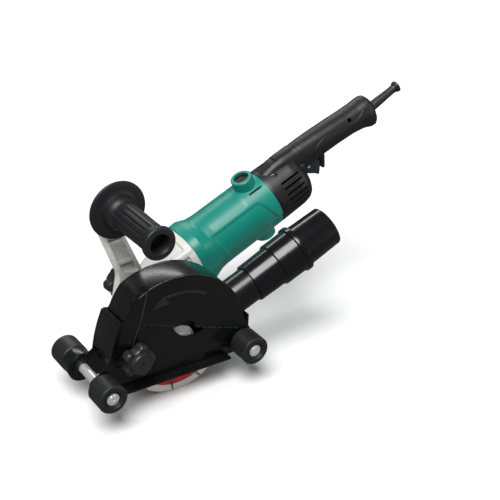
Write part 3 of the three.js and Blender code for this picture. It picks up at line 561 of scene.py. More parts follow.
def axle(end):
    place, length, _ = rod_place(f"{end}_axle")
    profile = [(1.4, 0), (0.2, 1.3), (0, 1.5), (0, 5.2), (0.8, AXLE_R), (length - 0.8, AXLE_R),
               (length, 5.2), (length, 1.5), (length - 0.2, 1.3), (length - 1.4, 0)]
    fit(lathe(f"{end}_axle_rod", profile, place), "base", "bright_steel", f"{end}_axle")


def boss(end):
    node = f"{end}_far_boss"
    place, length, radius = rod_place(node)
    outline = [(0, AXLE_R + GAP), (0, radius), (length, radius), (length, AXLE_R + GAP)]
    ring = lathe(f"{node}_ring", rounded(outline, 0.8), place)
    centre = place.translation
    path = in_plane(arc((centre.x, centre.z), radius, 0, 360, 80), centre.y + 0.4)
    fit(ring, "base", "black_steel", node)
    fit(cord_of(f"{node}_weld", path, 1.0, wobble=0.25), "base", "black_steel")


for end in ("front", "rear"):
    axle(end)
    boss(end)
    for side in ("near", "far"):
        roller(end, side)


# ---- Base plates and front shell ----
def pin(name, x, z, radius, y0, y1, sides=64):
    return disc(name, y0, y1, radius, spin(x, z), sides)


def hole_through(x, z, radius, y0, y1):
    """A cutter that runs past both faces of a plate."""
    return pin("hole_through", x, z, radius, y0 - 1, y1 + 1)


def axle_holes(y0, y1):
    return [hole_through(*place, AXLE_R + GAP, y0, y1) for place in (FRONT, REAR)]


def base_near_plate():
    y0, y1 = base_near_y, base_near_y + SHEET
    fan = lip_deg - TILT_UP - 2
    slot_inner, slot_outer = CLAMP_R - 4.5, CLAMP_R + 4.5
    slot_end = 169.5 + TILT_DOWN + 3
    lower = prism("base_near", [
        (REAR[0], base_low), *sweep_pivot(EAR_R, -60, 60, 16), about_pivot(slot_inner, fan),
        *sweep_pivot(slot_inner, fan + 1, slot_end, 40), about_pivot(slot_outer, slot_end),
        about_pivot(SHELL_R - SHEET, SHELL_TO - 1.5), about_pivot(SHELL_R, SHELL_TO - 1.5),
        *arc(FRONT, EAR_R, 100, 250, 24), (FRONT[0] + 33, base_low)], y0, y1)
    allowed = union(pin("hood_space", *GUARD_CENTRE, GUARD_R - 11.5, y0 - 1, y1 + 1, 128),
                    block("below_hood", -200, 200, y0 - 1, y1 + 1, -100, 20))
    plate = overlap(lower, allowed)
    window = pin("window", *WINDOW_AT, WINDOW_R, y0 - 1, y1 + 1, 96)
    reach = ROLLER_R + 3
    sole = block("sole", FRONT[0] + reach, REAR[0] - reach, sole_y, y1, base_low, base_low + SHEET)
    plate = bevel(union(cut(plate, window, *axle_holes(y0, y1)), sole), 0.45)
    fit(plate, "base", "black_steel", "base_near_plate")


def neck_sweep(y0, y1):
    """The gearbox neck's path through the base's far plate as the blade unit tilts."""
    radius = math.hypot(*REAR)
    rest = math.degrees(math.atan2(-REAR[1], -REAR[0]))
    start, end = rest - TILT_UP, rest + TILT_DOWN
    r = NECK_R + 1.2
    slot = prism("sweep", [*sweep_pivot(radius + r, start, end, 24),
                           *sweep_pivot(radius - r, end, start, 24)], y0, y1)
    ends = [pin("sweep_end", *about_pivot(radius, deg), r, y0, y1) for deg in (start, end)]
    return union(slot, *ends)


def base_far_plate():
    y0, y1 = base_far_y, base_far_y + SHEET
    plate = prism("base_far", [
        (REAR[0], base_low), *sweep_pivot(EAR_R, -60, 100, 24), about_pivot(30, 120),
        about_pivot(FAR_CLAMP_R - 22, far_knob_angle - 4), *arc((far_knob.x, far_knob.z), 12, 60, 160, 12),
        about_pivot(SHELL_R - 8, SHELL_FROM), *sweep_pivot(SHELL_R, SHELL_FROM + 1, SHELL_TO, 16),
        *arc(FRONT, EAR_R, 100, 250, 24), (FRONT[0] + 33, base_low)], y0, y1)
    bolt = hole_through(far_knob.x, far_knob.z, BOLT_HOLE_R, y0, y1)
    plate = cut(plate, neck_sweep(y0 - 1, y1 + 1), bolt, *axle_holes(y0, y1))
    fit(bevel(plate, 0.45), "base", "black_steel", "base_far_plate")


def front_shell():
    y0, y1 = base_near_y, base_far_y - GAP
    section = rounded([(SHELL_R, y0), (SHELL_R, y1), (SHELL_R - SHEET, y1), (SHELL_R - SHEET, y0)], 0.5)
    shell = swept("front_shell", section, REAR, SHELL_FROM, SHELL_TO - 2, 28)
    fit(bevel(shell, 0.4), "base", "black_steel", "base_front_shell")
    path = in_plane(sweep_pivot(SHELL_R - 0.4, SHELL_FROM + 1, SHELL_TO - 3, 40), y0 + 0.2)
    fit(cord_of("front_shell_weld", path, 0.8, wobble=0.3), "base", "black_steel")


base_near_plate()
base_far_plate()
front_shell()


# ---- Guard ----
def pivot_ear(name, y0, y1):
    ear = pin(name, *REAR, EAR_R, y0, y1)
    return union(ear, block("ear_root", REAR[0] - EAR_R, LIP_REAR[0], y0, y1, REAR[1], LIP_REAR[1] + 3))


FACE_R = CLAMP_R + 3.5  # the face's front edge, about the rear axle
HOOD_LAST = hood_end - 9  # where the face's front edge leaves the hood
TONGUE_TO = 172


def face_edge(t):
    """The face's front edge: straight from the hood at t = 0, then about the rear axle down to t = 1."""
    start = Vector(arc(GUARD_CENTRE, GUARD_R, HOOD_LAST, HOOD_LAST, 1)[0])
    turn = tail_deg + 9
    if t < 0.35:
        return start.lerp(Vector(about_pivot(FACE_R, turn)), t / 0.35)
    return Vector(about_pivot(FACE_R, turn + (165.5 - turn) * (t - 0.35) / 0.65))


def skirt_edge(t):
    """The band's outer edge: along the hood, then along the skirt, narrowing a little."""
    if t < 0.2:
        angle = HOOD_LAST + (hood_end - HOOD_LAST) * t / 0.2
        return Vector(arc(GUARD_CENTRE, GUARD_R, angle, angle, 1)[0])
    along_skirt = (t - 0.2) / 0.8
    return Vector(about_pivot(TAIL_R - 5 * along_skirt, tail_deg + (165.5 - tail_deg) * along_skirt))


def guard_band():
    """The sloping band between the near plate's face and its set-back flank."""
    bm = bmesh.new()
    rings = []
    for t in steps_between(0.004, 1, 60):
        inner, outer = face_edge(t), skirt_edge(t)
        level = flank_y * min(t / 0.12, 1) + near_face * max(1 - t / 0.12, 0)
        ring = [(inner, near_face), (outer, level), (outer, level + SHEET), (inner, near_face + SHEET)]
        rings.append([bm.verts.new((point.x, y, point.y)) for point, y in ring])
    return skinned("guard_near_band", bm, rings)


def guard_near_plate():
    y0, y1 = near_face, near_face + SHEET
    face = prism("guard_near", [
        LIP_REAR, *arc(GUARD_CENTRE, GUARD_R, HOOD_FROM, HOOD_LAST, 72),
        *[face_edge(k / 24) for k in range(1, 24)], *sweep_pivot(FACE_R, 166, TONGUE_TO, 6),
        *sweep_pivot(CLAMP_R - 6, TONGUE_TO, lip_deg - 5.5, 16),
        LIP_FRONT], y0, y1)
    face = union(face, pivot_ear("guard_near_ear", y0, y1))
    notch = hole_through(*NOTCH_AT, NOTCH_R, y0, y1)
    hole = hole_through(*REAR, AXLE_R + GAP, y0, y1)

    def bolt_hole():
        return hole_through(near_knob.x, near_knob.z, BOLT_HOLE_R, y0, flank_y + SHEET)

    face = bevel(cut(face, notch, hole, bolt_hole()), 0.6, 3)
    fit(face, "tool", "black_steel", "guard_near_plate")
    fit(cut(guard_band(), bolt_hole()), "tool", "black_steel")
    flat = [(CLAMP_R - 8, flank_y), (TAIL_R, flank_y), (TAIL_R, flank_y + SHEET),
            (CLAMP_R - 8, flank_y + SHEET)]
    flank = swept("guard_near_flank", flat, REAR, tail_deg + 2, TAIL_TO, 40)
    fit(cut(flank, bolt_hole()), "tool", "black_steel")


def guard_hood():
    y0 = near_face + SHEET + GAP
    near_side = flank_y + SHEET + GAP
    inner = GUARD_R - SHEET
    shell = [(inner, y0), (GUARD_R, y0), (GUARD_R, wrap_far), (inner, wrap_far)]
    hood = swept("hood", rounded(shell, 0.4), GUARD_CENTRE, HOOD_FROM - 4, hood_end, 90)
    rear = block("hood_rear", LIP_REAR[0] - SHEET, LIP_REAR[0], y0, wrap_far, LIP_REAR[1] + 3, 13)
    rear_clear = block("rear_clear", LIP_REAR[0] - 12, LIP_REAR[0] + 12, y0 - 1, wrap_far + 1, -12,
                       LIP_REAR[1] + 3)
    skirt_section = [(TAIL_R - SHEET, near_side), (TAIL_R, near_side), (TAIL_R, wrap_far),
                     (TAIL_R - SHEET, wrap_far)]
    skirt = swept("skirt", rounded(skirt_section, 0.4), REAR, tail_deg - 1, TAIL_TO, 40)
    web_space = swept("web_space", [(CLAMP_R - 14, y0 - 1), (TAIL_R + 9, y0 - 1), (TAIL_R + 9, near_side),
                                    (CLAMP_R - 14, near_side)], REAR, tail_deg - 2.5, TAIL_TO, 24)
    mouth = disc("mouth", -30, 30, 19.5, duct, 64)
    hood = cut(union(cut(hood, web_space), rear), rear_clear)
    hood = cut(union(hood, skirt), mouth)
    fit(hood, "tool", "black_steel", "guard_hood")


def guard_far_plate():
    y0, y1 = far_face - SHEET, far_face
    plate = prism("guard_far", [
        LIP_REAR, *arc(GUARD_CENTRE, GUARD_R, HOOD_FROM, hood_end, 72),
        *sweep_pivot(TAIL_R, tail_deg + 1, TAIL_TO, 24),
        about_pivot(CLAMP_R - 8, TAIL_TO), about_pivot(CLAMP_R - 8, lip_deg + 6), (-30, -22), (40, -26)],
        y0, y1)
    plate = union(plate, pivot_ear("guard_far_ear", y0, y1))
    neck = hole_through(0, 0, NECK_R + GAP, y0, y1)
    hole = hole_through(*REAR, AXLE_R + GAP, y0, y1)
    fit(bevel(cut(plate, neck, hole), 0.6, 3), "tool", "black_steel", "guard_far_plate")


def guard_welds():
    """Uneven weld beads along the guard's near edges, most of them at the bend, and thin cords along the lip and
    the face's bend edge. The rim bead and the thin cords are lighter as a painted highlight.
    """
    bead_y = near_face + SHEET * 0.45
    runs = [("rim", GUARD_CENTRE, GUARD_R - 0.5, 24, 120, 150),
            ("bend", REAR, TAIL_R - 1, tail_deg - 2, tail_deg + 7, 30)]
    for name, centre, radius, start, end, count in runs:
        level = bead_y if name == "rim" else flank_y - 0.2
        size = 0.75 if name == "rim" else 1.4
        path = in_plane(arc(centre, radius, start, end, count), level)
        # The rim bead takes the lighter colour as a painted highlight.
        look = "painted_edge_highlight" if name == "rim" else "black_steel"
        fit(cord_of(f"guard_weld_{name}", path, size, wobble=0.35), "tool", look, slot="black_steel")
    # Thin lighter cords on the lip and the face's bend edge: painted highlights.
    lip = Vector(LIP_REAR) - Vector(LIP_FRONT)
    for number, (start, end) in enumerate(((0.03, 0.27), (0.47, 0.96))):
        path = in_plane([Vector(LIP_FRONT) + lip * t + Vector((0, 0.3))
                         for t in steps_between(start, end, 30)],
                        near_face + 0.35)
        fit(cord_of(f"guard_lip_edge_{number}", path, 0.4, wobble=0.2), "tool", "painted_edge_highlight",
            slot="black_steel")
    path = in_plane([face_edge(t) for t in steps_between(0.02, 0.98, 80)], near_face + 0.3)
    fit(cord_of("guard_bend_edge", path, 0.4, wobble=0.3), "tool", "painted_edge_highlight", slot="black_steel")


def rotation_arrow():
    """A raised arrow that shows which way the blades turn."""
    y0, y1 = near_face - 1.6, near_face + 0.4
    radius, half = 76.5, 2.4
    section = [(radius - half, y1), (radius - half * 0.5, y0), (radius + half * 0.5, y0),
               (radius + half, y1)]
    shaft = swept("arrow_shaft", section, GUARD_CENTRE, 58, 100, 40)
    head = prism("arrow_head", rounded([(-42, 62.6), (-26.5, 77), (-20.5, 65)], 1.2), y0 + 0.3, y1)
    # The arrow's lighter colour is a painted highlight on the plate's black paint.
    fit(union(shaft, head), "tool", "painted_arrow_highlight", slot="black_steel")


guard_near_plate()
guard_hood()
guard_far_plate()
guard_welds()
rotation_arrow()


# ---- Dust spout and cuff ----
def dust_duct():
    outline = [(-10, SPOUT_R - 2.5), (-10, SPOUT_R), (46, SPOUT_R), (46, SPOUT_R - 2.5)]
    spout = lathe("spout", outline, duct, 96)
    wall = prism("hood_solid", [(LIP_REAR[0] + GAP, -60),
                                *arc(GUARD_CENTRE, GUARD_R + GAP, HOOD_FROM, 180, 96)], -60, 100)
    fit(cut(spout, wall), "tool", "black_steel", "dust_spout")
    profile = [
        (30, SPOUT_R + GAP), (30, 25), (69, 26), (69, 28.3), (101, 28.6), (101, 31), (108, 31), (108, 27.5),
        (156, 26.3), (156, 23.6), (76, 23.6), (52, 21.5), (46.3, SPOUT_R + GAP),
    ]
    fit(lathe("cuff", rounded(profile, 0.9), duct, 128), "cuff", "duct_plastic", "dust_cuff")


dust_duct()


# ---- Clamping knobs ----
def star_knob(name, node, body, place, bolt_end):
    """A five-lobed knob. The place's X runs from the knob's inner face out to its cap."""
    length = KNOB_LENGTH
    lobes = 5
    outline = []
    for k in range(90):
        a = 2 * math.pi * k / 90
        r = KNOB_R - 2.6 + 2.6 * math.tanh(1.8 * math.cos(lobes * a)) / math.tanh(1.8)
        outline.append((a, r))
    bm = bmesh.new()
    rings = []
    for axial, scale in ((3, 0.86), (3.6, 0.93), (5, 0.97), (13, 1), (15, 0.97), (16.2, 0.9)):
        rings.append([bm.verts.new((axial, r * scale * math.cos(a), r * scale * math.sin(a))) for a,
                      r in outline])
    star = skinned(name, bm, rings, place)
    dark_centre = disc("dark_centre", 0, 8, 11, place, 64, 0.6)
    cap_profile = [(12, 0), (12, 13.9), (length - 1.2, 13.5), (length, 12.6), (length, 11.4),
                   (length - 0.5, 11.2), (length - 0.5, 10.8), (length, 10.6), (length, 5),
                   (length - 0.5, 4.8), (length - 0.5, 4.3),
                   (length, 4.1), (length, 2.2), (length - 1.2, 2), (length - 1.2, 0)]
    cap = lathe("cap", cap_profile, place, 72)
    fit(union(star, dark_centre, cap), body, "knob_plastic", node, slot="black_plastic")
    bolt = disc(f"{name}_bolt", bolt_end, 1, 3, place, 32, 0.4)
    fit(bolt, body, "bright_steel")
    washer = lathe(f"{name}_washer", rounded([(-0.6, 3.3), (-0.6, 8), (-0.05, 8), (-0.05, 3.3)], 0.2),
                   place, 48)
    fit(washer, body, "bright_steel")


near_low, near_high = node_box("near_clamp_knob")
far_low, far_high = node_box("far_clamp_knob")
near_place = along((near_knob.x, near_low.y + KNOB_LENGTH, near_knob.z), (0, -1, 0))
far_place = along((far_knob.x, far_high.y - KNOB_LENGTH, far_knob.z), (0, 1, 0))
star_knob("near_knob_star", "near_clamp_knob", "near_knob", near_place, near_low.y + KNOB_LENGTH - near_high.y)
star_knob("far_knob_star", "far_clamp_knob", "far_knob", far_place, far_low.y - far_high.y + KNOB_LENGTH)


# ---- Gearbox and arm ----
gear_low, gear_high = node_box("gearbox_housing")
MOTOR_Y = joint_place("armature_spin").y
BELL = [
    (8, 20, 20, 2.0, 0), (45, 31, 31, 2.0, 0), (70, 36.5, 36.5, 2.3, 0), (80, 38.5, 38.5, 2.6, 0),
    (91.7, 39.5, 39.5, 2.7, 0),
]
FLANGE = [(82, 40.2, 40.2, 3.0, 0), (83, 41, 41, 3.0, 0), (91, 41, 41, 3.0, 0), (91.7, 40.4, 40.4, 3.0, 0)]
SCREW_OUT = 28.16  # from the motor axis, each way, to a corner screw


def gearbox():
    face = 47.0
    profile = [
        (gear_low.y, 0), (gear_low.y, NECK_R - 0.6), (gear_low.y + 0.6, NECK_R), (face, NECK_R),
        (face, 24.5), (face + 1, 25.5), (face + 11, GEARBOX_R - 0.5), (face + 13, GEARBOX_R),
        (MOTOR_Y, GEARBOX_R), (MOTOR_Y + 7, 23.5), (MOTOR_Y + 8, 22), (MOTOR_Y + 8.4, 14),
        (gear_high.y - 1, 13.3), (gear_high.y, 12.4), (gear_high.y, 0),
    ]
    body = lathe("gearbox", profile, spin(0, 0), 96)
    bell = loft("bell", BELL, motor, steps_between(8, 91.7, 20))
    flange = loft("flange", FLANGE, motor, [82, 83, 91, 91.7])
    corners = [motor @ Matrix.Translation((0, side_y * SCREW_OUT, side_z * SCREW_OUT))
               for side_y in (-1, 1) for side_z in (-1, 1)]
    lugs = [disc("lug", 62, 91, 7.2, corner, 32, 1.2) for corner in corners]
    body = union(body, bell, flange, *lugs)
    inside = [
        disc("gear_space", 74, MOTOR_Y + 5.3, GEARBOX_R - 3.5, spin(0, 0), 64),
        loft("bell_space", [(12, 16, 16, 2, 0), (50, 27, 27, 2, 0), (74, 33, 33, 2, 0)], motor,
             [12, 50, 74]),
        disc("bearing_seat", 73, 94, 15.3, motor, 64),
        disc("neck_bore", gear_low.y - 1, 60.5, 12, spin(0, 0), 64),
        disc("front_seat", 60, 74.7, 18.3, spin(0, 0), 64),
        disc("needle_seat", MOTOR_Y + 4.8, MOTOR_Y + 14.1, 9.3, spin(0, 0), 48),
    ]
    wells = [disc("well", 58, 76, 4.6, corner, 32) for corner in corners]
    screw_profile = [(72.5, 0), (72.5, 1.9), (70.6, 2.0), (70.6, 3.9), (71.2, 4.2), (75.9, 4.2), (75.9, 0)]
    for number, corner in enumerate(corners):
        fit(lathe(f"gearbox_screw_{number}", screw_profile, corner, 32), "tool", "bright_steel")
    fit(cut(body, *inside, *wells), "tool", "light_casting", "gearbox_housing")


def handle_arm():
    low, high = node_box("handle_arm")
    y0, y1 = low.y, high.y
    edge = [
        *arc((handle_x, handle_z), 17, 20, 190, 20), (-74, 140), (-50, 78),
        about_pivot(FAR_CLAMP_R + 10, far_knob_angle + 8),
        about_pivot(FAR_CLAMP_R + 10, far_knob_angle + TILT_UP + 5),
        about_pivot(FAR_CLAMP_R - 10, far_knob_angle + TILT_UP + 5),
        about_pivot(FAR_CLAMP_R - 12, far_knob_angle + 10), (-14, 40), (22, 38), (40, 48), (22, 64),
        (-14, 66), (-43, 131),
    ]
    arm = bevel(prism("arm", rounded(edge, 6, 5), y0, y1), 0.9, 3, 50)
    trough_edge = [(-66, 154), (-68, 137), (-46, 82), (-24, 78), (-47, 130), (-46, 154)]
    trough = prism("trough", rounded(trough_edge, 5, 5), y0 - 1, y1 - 4)
    ribs = [prism("rib", [(-80, z), (-15, z + 6), (-15, z + 10), (-80, z + 4)], y0 + 3, y1 - 1)
            for z in (89, 119)]
    trough = cut(trough, *ribs)
    slot_start, slot_end = far_knob_angle - TILT_DOWN - 2, far_knob_angle + TILT_UP + 2
    slot = prism("slot", [*sweep_pivot(FAR_CLAMP_R + 4, slot_start, slot_end, 20),
                          *sweep_pivot(FAR_CLAMP_R - 4, slot_end, slot_start, 20)], y0 - 1, y1 + 1)
    stud = hole_through(handle_x, handle_z, 5.3, y0, y1)
    gear_space = hole_through(0, 0, GEARBOX_R + GAP, y0, y1)
    bell_space = disc("bell_clear", 0, 92, MOTOR_R + 3, motor, 48)
    arm = cut(arm, trough, slot, stud, gear_space, bell_space)
    fit(arm, "tool", "light_casting", "handle_arm")


gearbox()
handle_arm()


# ---- Side handle ----
def side_handle():
    near, arm = handle_low.y, handle_high.y
    disc_y = 44.0
    flutes = 14

    def fluted(axial, radius, angle):
        y = near + axial
        inside = min((y - near - 14) / 4, (27 - y) / 4, 1)
        if inside <= 0 or radius < HANDLE_GRIP_R - 1.5 or radius > HANDLE_GRIP_R + 1.6:
            return 1
        groove = max(math.cos(flutes * angle), 0) ** 3
        return 1 - 0.09 * inside * groove

    waist = [(near + 14 + k * 2, HANDLE_GRIP_R + 0.4 * math.sin(k * math.pi / 7) + k * 0.08)
             for k in range(8)]
    profile = [
        (near + 16, 0), (near + 16, 11.2), (near + 1, 11.6), (near, 12.4), (near, 17.6),
        (near + 0.6, 18.8), (near + 2, HANDLE_RING_R), (near + 6, HANDLE_RING_R), (near + 8, 18),
        (near + 10, HANDLE_GRIP_R + 0.3), *waist, (0, HANDLE_GRIP_R + 1), (12, HANDLE_GRIP_R + 1),
        (22, HANDLE_GRIP_R + 1), (27, HANDLE_GRIP_R + 1.2), (29, 17.6), (31, 19.4), (34, 20.4),
        (38, 20.8), (disc_y - 2.4, 21.5), (disc_y - 1.4, 23.5), (disc_y - 0.9, 27),
        (disc_y - 0.6, HANDLE_DISC_R - 1.6), (disc_y, HANDLE_DISC_R - 0.4), (disc_y + 1, HANDLE_DISC_R),
        (disc_y + 2, HANDLE_DISC_R), (disc_y + 3, HANDLE_DISC_R - 1), (disc_y + 4.4, 15),
        (arm - 0.4, 13), (arm, 12.6), (arm, 5.3), (20, 5.3), (20, 0),
    ]
    start = Vector((handle_x, near, handle_z))
    outline = [(y - near, r) for y, r in profile]
    grip = lathe("side_grip", outline, along(start, (0, 1, 0)), 224, fluted)
    fit(grip, "tool", "grey_plastic", "side_handle", angle=50)
    nut_y = node_box("side_handle_stud")[1].y
    stud = disc("stud_rod", 21, nut_y - 3, 5, spin(handle_x, handle_z), 48, 0.4)
    nut = lathe("stud_nut", rounded([(66.3, 0), (66.3, 9), (nut_y, 9), (nut_y, 0)], 0.6),
                spin(handle_x, handle_z), 6)
    fit(union(stud, nut), "tool", "bright_steel", "side_handle_stud")


side_handle()


# ---- Blades and flange nut ----
def slot_cutters(y):
    cutters = []
    foot = BLADE_R - SEGMENT_H - SLOT_DEPTH
    for i in range(SEGMENTS):
        angle = math.radians(360 / SEGMENTS * i)
        turn = Matrix.Translation((0, y, 0)) @ Matrix.Rotation(angle, 4, "Y")
        lean = turn @ Matrix.Translation((foot, 0, 0)) @ Matrix.Rotation(math.radians(-SLOT_LEAN), 4, "Y")
        slot = block("slot", 0, 40, -3, 3, -1.4, 1.4, lean)
        key = disc("key", -3, 3, 2.8, lean @ along((0, 0, 0), (0, 1, 0)), 24)
        cutters.append(union(slot, key))
    return cutters


def blade(side):
    low, high = node_box(f"blade_{side}")
    y = (low.y + high.y) / 2
    core_r = BLADE_R - SEGMENT_H
    core_profile = [(-0.8, BORE_R + GAP), (-0.8, core_r - 0.2), (0.8, core_r - 0.2), (0.8, BORE_R + GAP)]
    core = lathe(f"blade_{side}_core", core_profile, spin(0, 0, y), 180)
    fit(cut(core, *slot_cutters(y)), "spindle", "blade_core", f"blade_{side}")
    # A dark steel ring over the blade's centre: painted shade for the dark seen through the guard's opening, and
    # also the bare dark centre that many blades have.
    dark_centre_profile = [(-1, BORE_R + GAP), (-1, 45), (-0.6, 45.4), (0.6, 45.4), (1, 45), (1, BORE_R + GAP)]
    fit(lathe(f"blade_{side}_hub", dark_centre_profile, spin(0, 0, y), 120), "spindle", "black_steel")
    rim_profile = [(-1.2, core_r - 1.8), (-1.2, BLADE_R - 0.4), (-0.8, BLADE_R), (0.8, BLADE_R),
                   (1.2, BLADE_R - 0.4),
                   (1.2, core_r - 1.8), (0.9, core_r - 2.1), (-0.9, core_r - 2.1)]
    rim = lathe(f"blade_{side}_segments", rim_profile, spin(0, 0, y), 180)
    fit(cut(rim, *slot_cutters(y)), "spindle", "segment", slot="bright_steel")


def flange_nut():
    low, high = node_box("flange_nut")
    profile = [(low.y, 7.3), (low.y, 12), (low.y + 0.6, 12.8), (low.y + 1.8, 13.2), (low.y + 2.6, 19.5),
               (low.y + 3.6, 21.6), (high.y - 0.5, 22), (high.y, 21.6), (high.y, 7.3)]
    nut = lathe("nut", profile, spin(0, 0), 96)
    holes = [pin("pin_hole", 16.6 * math.cos(a), 16.6 * math.sin(a), 1.9, low.y - 1, high.y - 2, 24)
             for a in (0.6, 0.6 + math.pi)]
    fit(cut(nut, *holes), "spindle", "bright_steel", "flange_nut")


for side in ("near", "far"):
    blade(side)
flange_nut()


# ---- Motor housing ----
HOUSING = [
    (MOTOR_FRONT, 40, 40, 2.7, 0), (93, 40.6, 40.6, 2.7, 0), (104, 41, 41, 2.7, 0), (110, 40, 40, 2.45, 0),
    (118, 38.7, 38.7, 2.2, 0), (128, MOTOR_R, MOTOR_R, 2.05, 0), (MOTOR_REAR - GAP, MOTOR_R, MOTOR_R, 2, 0),
]


def ease(value):
    t = min(max(value, 0), 1)
    return t * t * (3 - 2 * t)


def panel_edge(x):
    """Upper edge of the sunken side panel, in degrees above the side's middle."""
    return 42 - 55 * ease((x - 196) / 22)


def housing_dent(x, degrees):
    """How far the skin is sunk: a soft side panel, a nose panel with a chevron edge, a flat on top."""
    side = abs(degrees) if abs(degrees) <= 90 else 180 - abs(degrees)
    low = degrees if degrees <= 90 else 180 - degrees
    if degrees < -90:
        low = -180 - degrees
    chevron = 121 + (4.5 * (low - 38) / 19 if low > 38 else 8 * (38 - low) / 45)
    panel = ease((panel_edge(x) - low) / 4) * ease((x - chevron) / 3) * ease((low + 52) / 6)
    top = ease((side - 47) / 5) * ease((x - 112) / 4) * ease((186 - x) / 4) * (1 if degrees > 0 else 0)
    return 1.5 * panel + 0.7 * top


BRUSH_PLACES = [motor @ Matrix.Translation((BRUSH_X, 0, 0)) @ Matrix.Rotation(math.radians(turn), 4, "Y")
                for turn in (-90, 90)]


def brush_boss(start, end, radius, name):
    return [disc(name, start, end, radius, place, 64, 1.0) for place in BRUSH_PLACES]


def motor_housing():
    stations = steps_between(MOTOR_FRONT, 128, 36) + steps_between(129, MOTOR_REAR - GAP, 74)
    shell = loft("housing", HOUSING, motor, stations, 192, housing_dent)
    inside = loft("housing_inside", [(90, 35.5, 35.5, 2, 0), (223, 35.5, 35.5, 2, 0)], motor, [90, 223], 64)
    shell = union(shell, *brush_boss(20, BRUSH_BOSS_TOP, BRUSH_BOSS_R, "boss"))
    shell = cut(shell, inside, *brush_boss(10, BRUSH_BOSS_TOP + 2, 10.2, "boss_hole"))
    slots = [block("slot", 196, 216, -1.2, 1.2, 33, 46, round_motor(degrees)) for degrees in (62, 118)]
    slots += [block("slot", 206, 217, -1.2, 1.2, 33, 46, round_motor(degrees))
              for degrees in (-25, -40, 205, 220)]
    shell = cut(shell, *slots)
    fit(shell, "tool", "teal_plastic", "motor_housing", angle=30)
    frame_path = [skin_point(HOUSING, x, deg, -0.6) for x, deg in
                  ((140, 86), (169, 86), (169, 100), (140, 100), (140, 86))]
    fit(cord_of("blank_plate_frame", frame_path, 0.5, motor, 6), "tool", "teal_plastic")


def round_motor(degrees):
    """The motor's frame with its Z turned to a place round the housing. 90 degrees is the top."""
    return motor @ Matrix.Rotation(math.radians(degrees - 90), 4, "X")


def brush_caps():
    for name, place in zip(("upper", "lower"), BRUSH_PLACES):
        top = BRUSH_BOSS_TOP
        profile = [(38, 0), (38, 9.6), (top - 3, 9.6), (top - 2.4, 9), (top - 2.4, 7.4), (top - 3.2, 7),
                   (top - 3.2, 0)]
        cap = lathe(f"brush_cap_{name}_disc", profile, place, 64)
        driver = block("driver", -8, 8, -0.9, 0.9, -8, 8, place @ Matrix.Translation((top - 3.4, 0, 0)) @
                       Matrix.Scale(0.14, 4, (1, 0, 0)))
        fit(cut(cap, driver), "tool", "black_plastic", f"brush_cap_{name}")


motor_housing()
brush_caps()


# ---- Rear housing and grip ----
BULGE = [
    (MOTOR_REAR, 38, 38, 2, 0), (MOTOR_REAR + 0.8, MOTOR_R, MOTOR_R, 2, 0), (262, 37.6, 37.6, 2, 0),
    (272, 35.5, 35.5, 2, 0), (277, 32, 32, 2, 0), (280, 27, 27, 2, 0), (BULGE_REAR, 22, 22, 2, 0),
]
GRIP = [
    (246, 14, 17.5, 2.2, GRIP_UP + 2), (262, 16, 19.5, 2.2, GRIP_UP + 3.5),
    (290, 17.2, 19.8, 2.25, GRIP_UP + 3.6), (318, 17.8, 18.8, 2.3, GRIP_UP + 3.4),
    (345, 18, 18.2, 2.3, GRIP_UP + 2.2), (372, 18.2, 18, 2.3, GRIP_UP + 0.2),
    (390, 18.8, 19.4, 2.3, GRIP_UP - 2), (402, 19.4, 22.4, 2.4, GRIP_UP - 4.6),
    (408, 19, 22.8, 2.4, GRIP_UP - 5.2), (411, 17.6, 21, 2.35, GRIP_UP - 4.6),
    (GRIP_REAR, 14.5, 17, 2.3, GRIP_UP - 4),
]


def on_grip(points, lift=0.0):
    return smooth_path([skin_point(GRIP, x, degrees, lift) for x, degrees in points])


def mirrored(points):
    return [(x, 180 - degrees) for x, degrees in points]


HOUSING_SCREWS = (64, 116)  # degrees round the housing


def housing_screw_place(degrees):
    return round_motor(degrees) @ along((239, 0, 0), (0, 0.0001, 1))


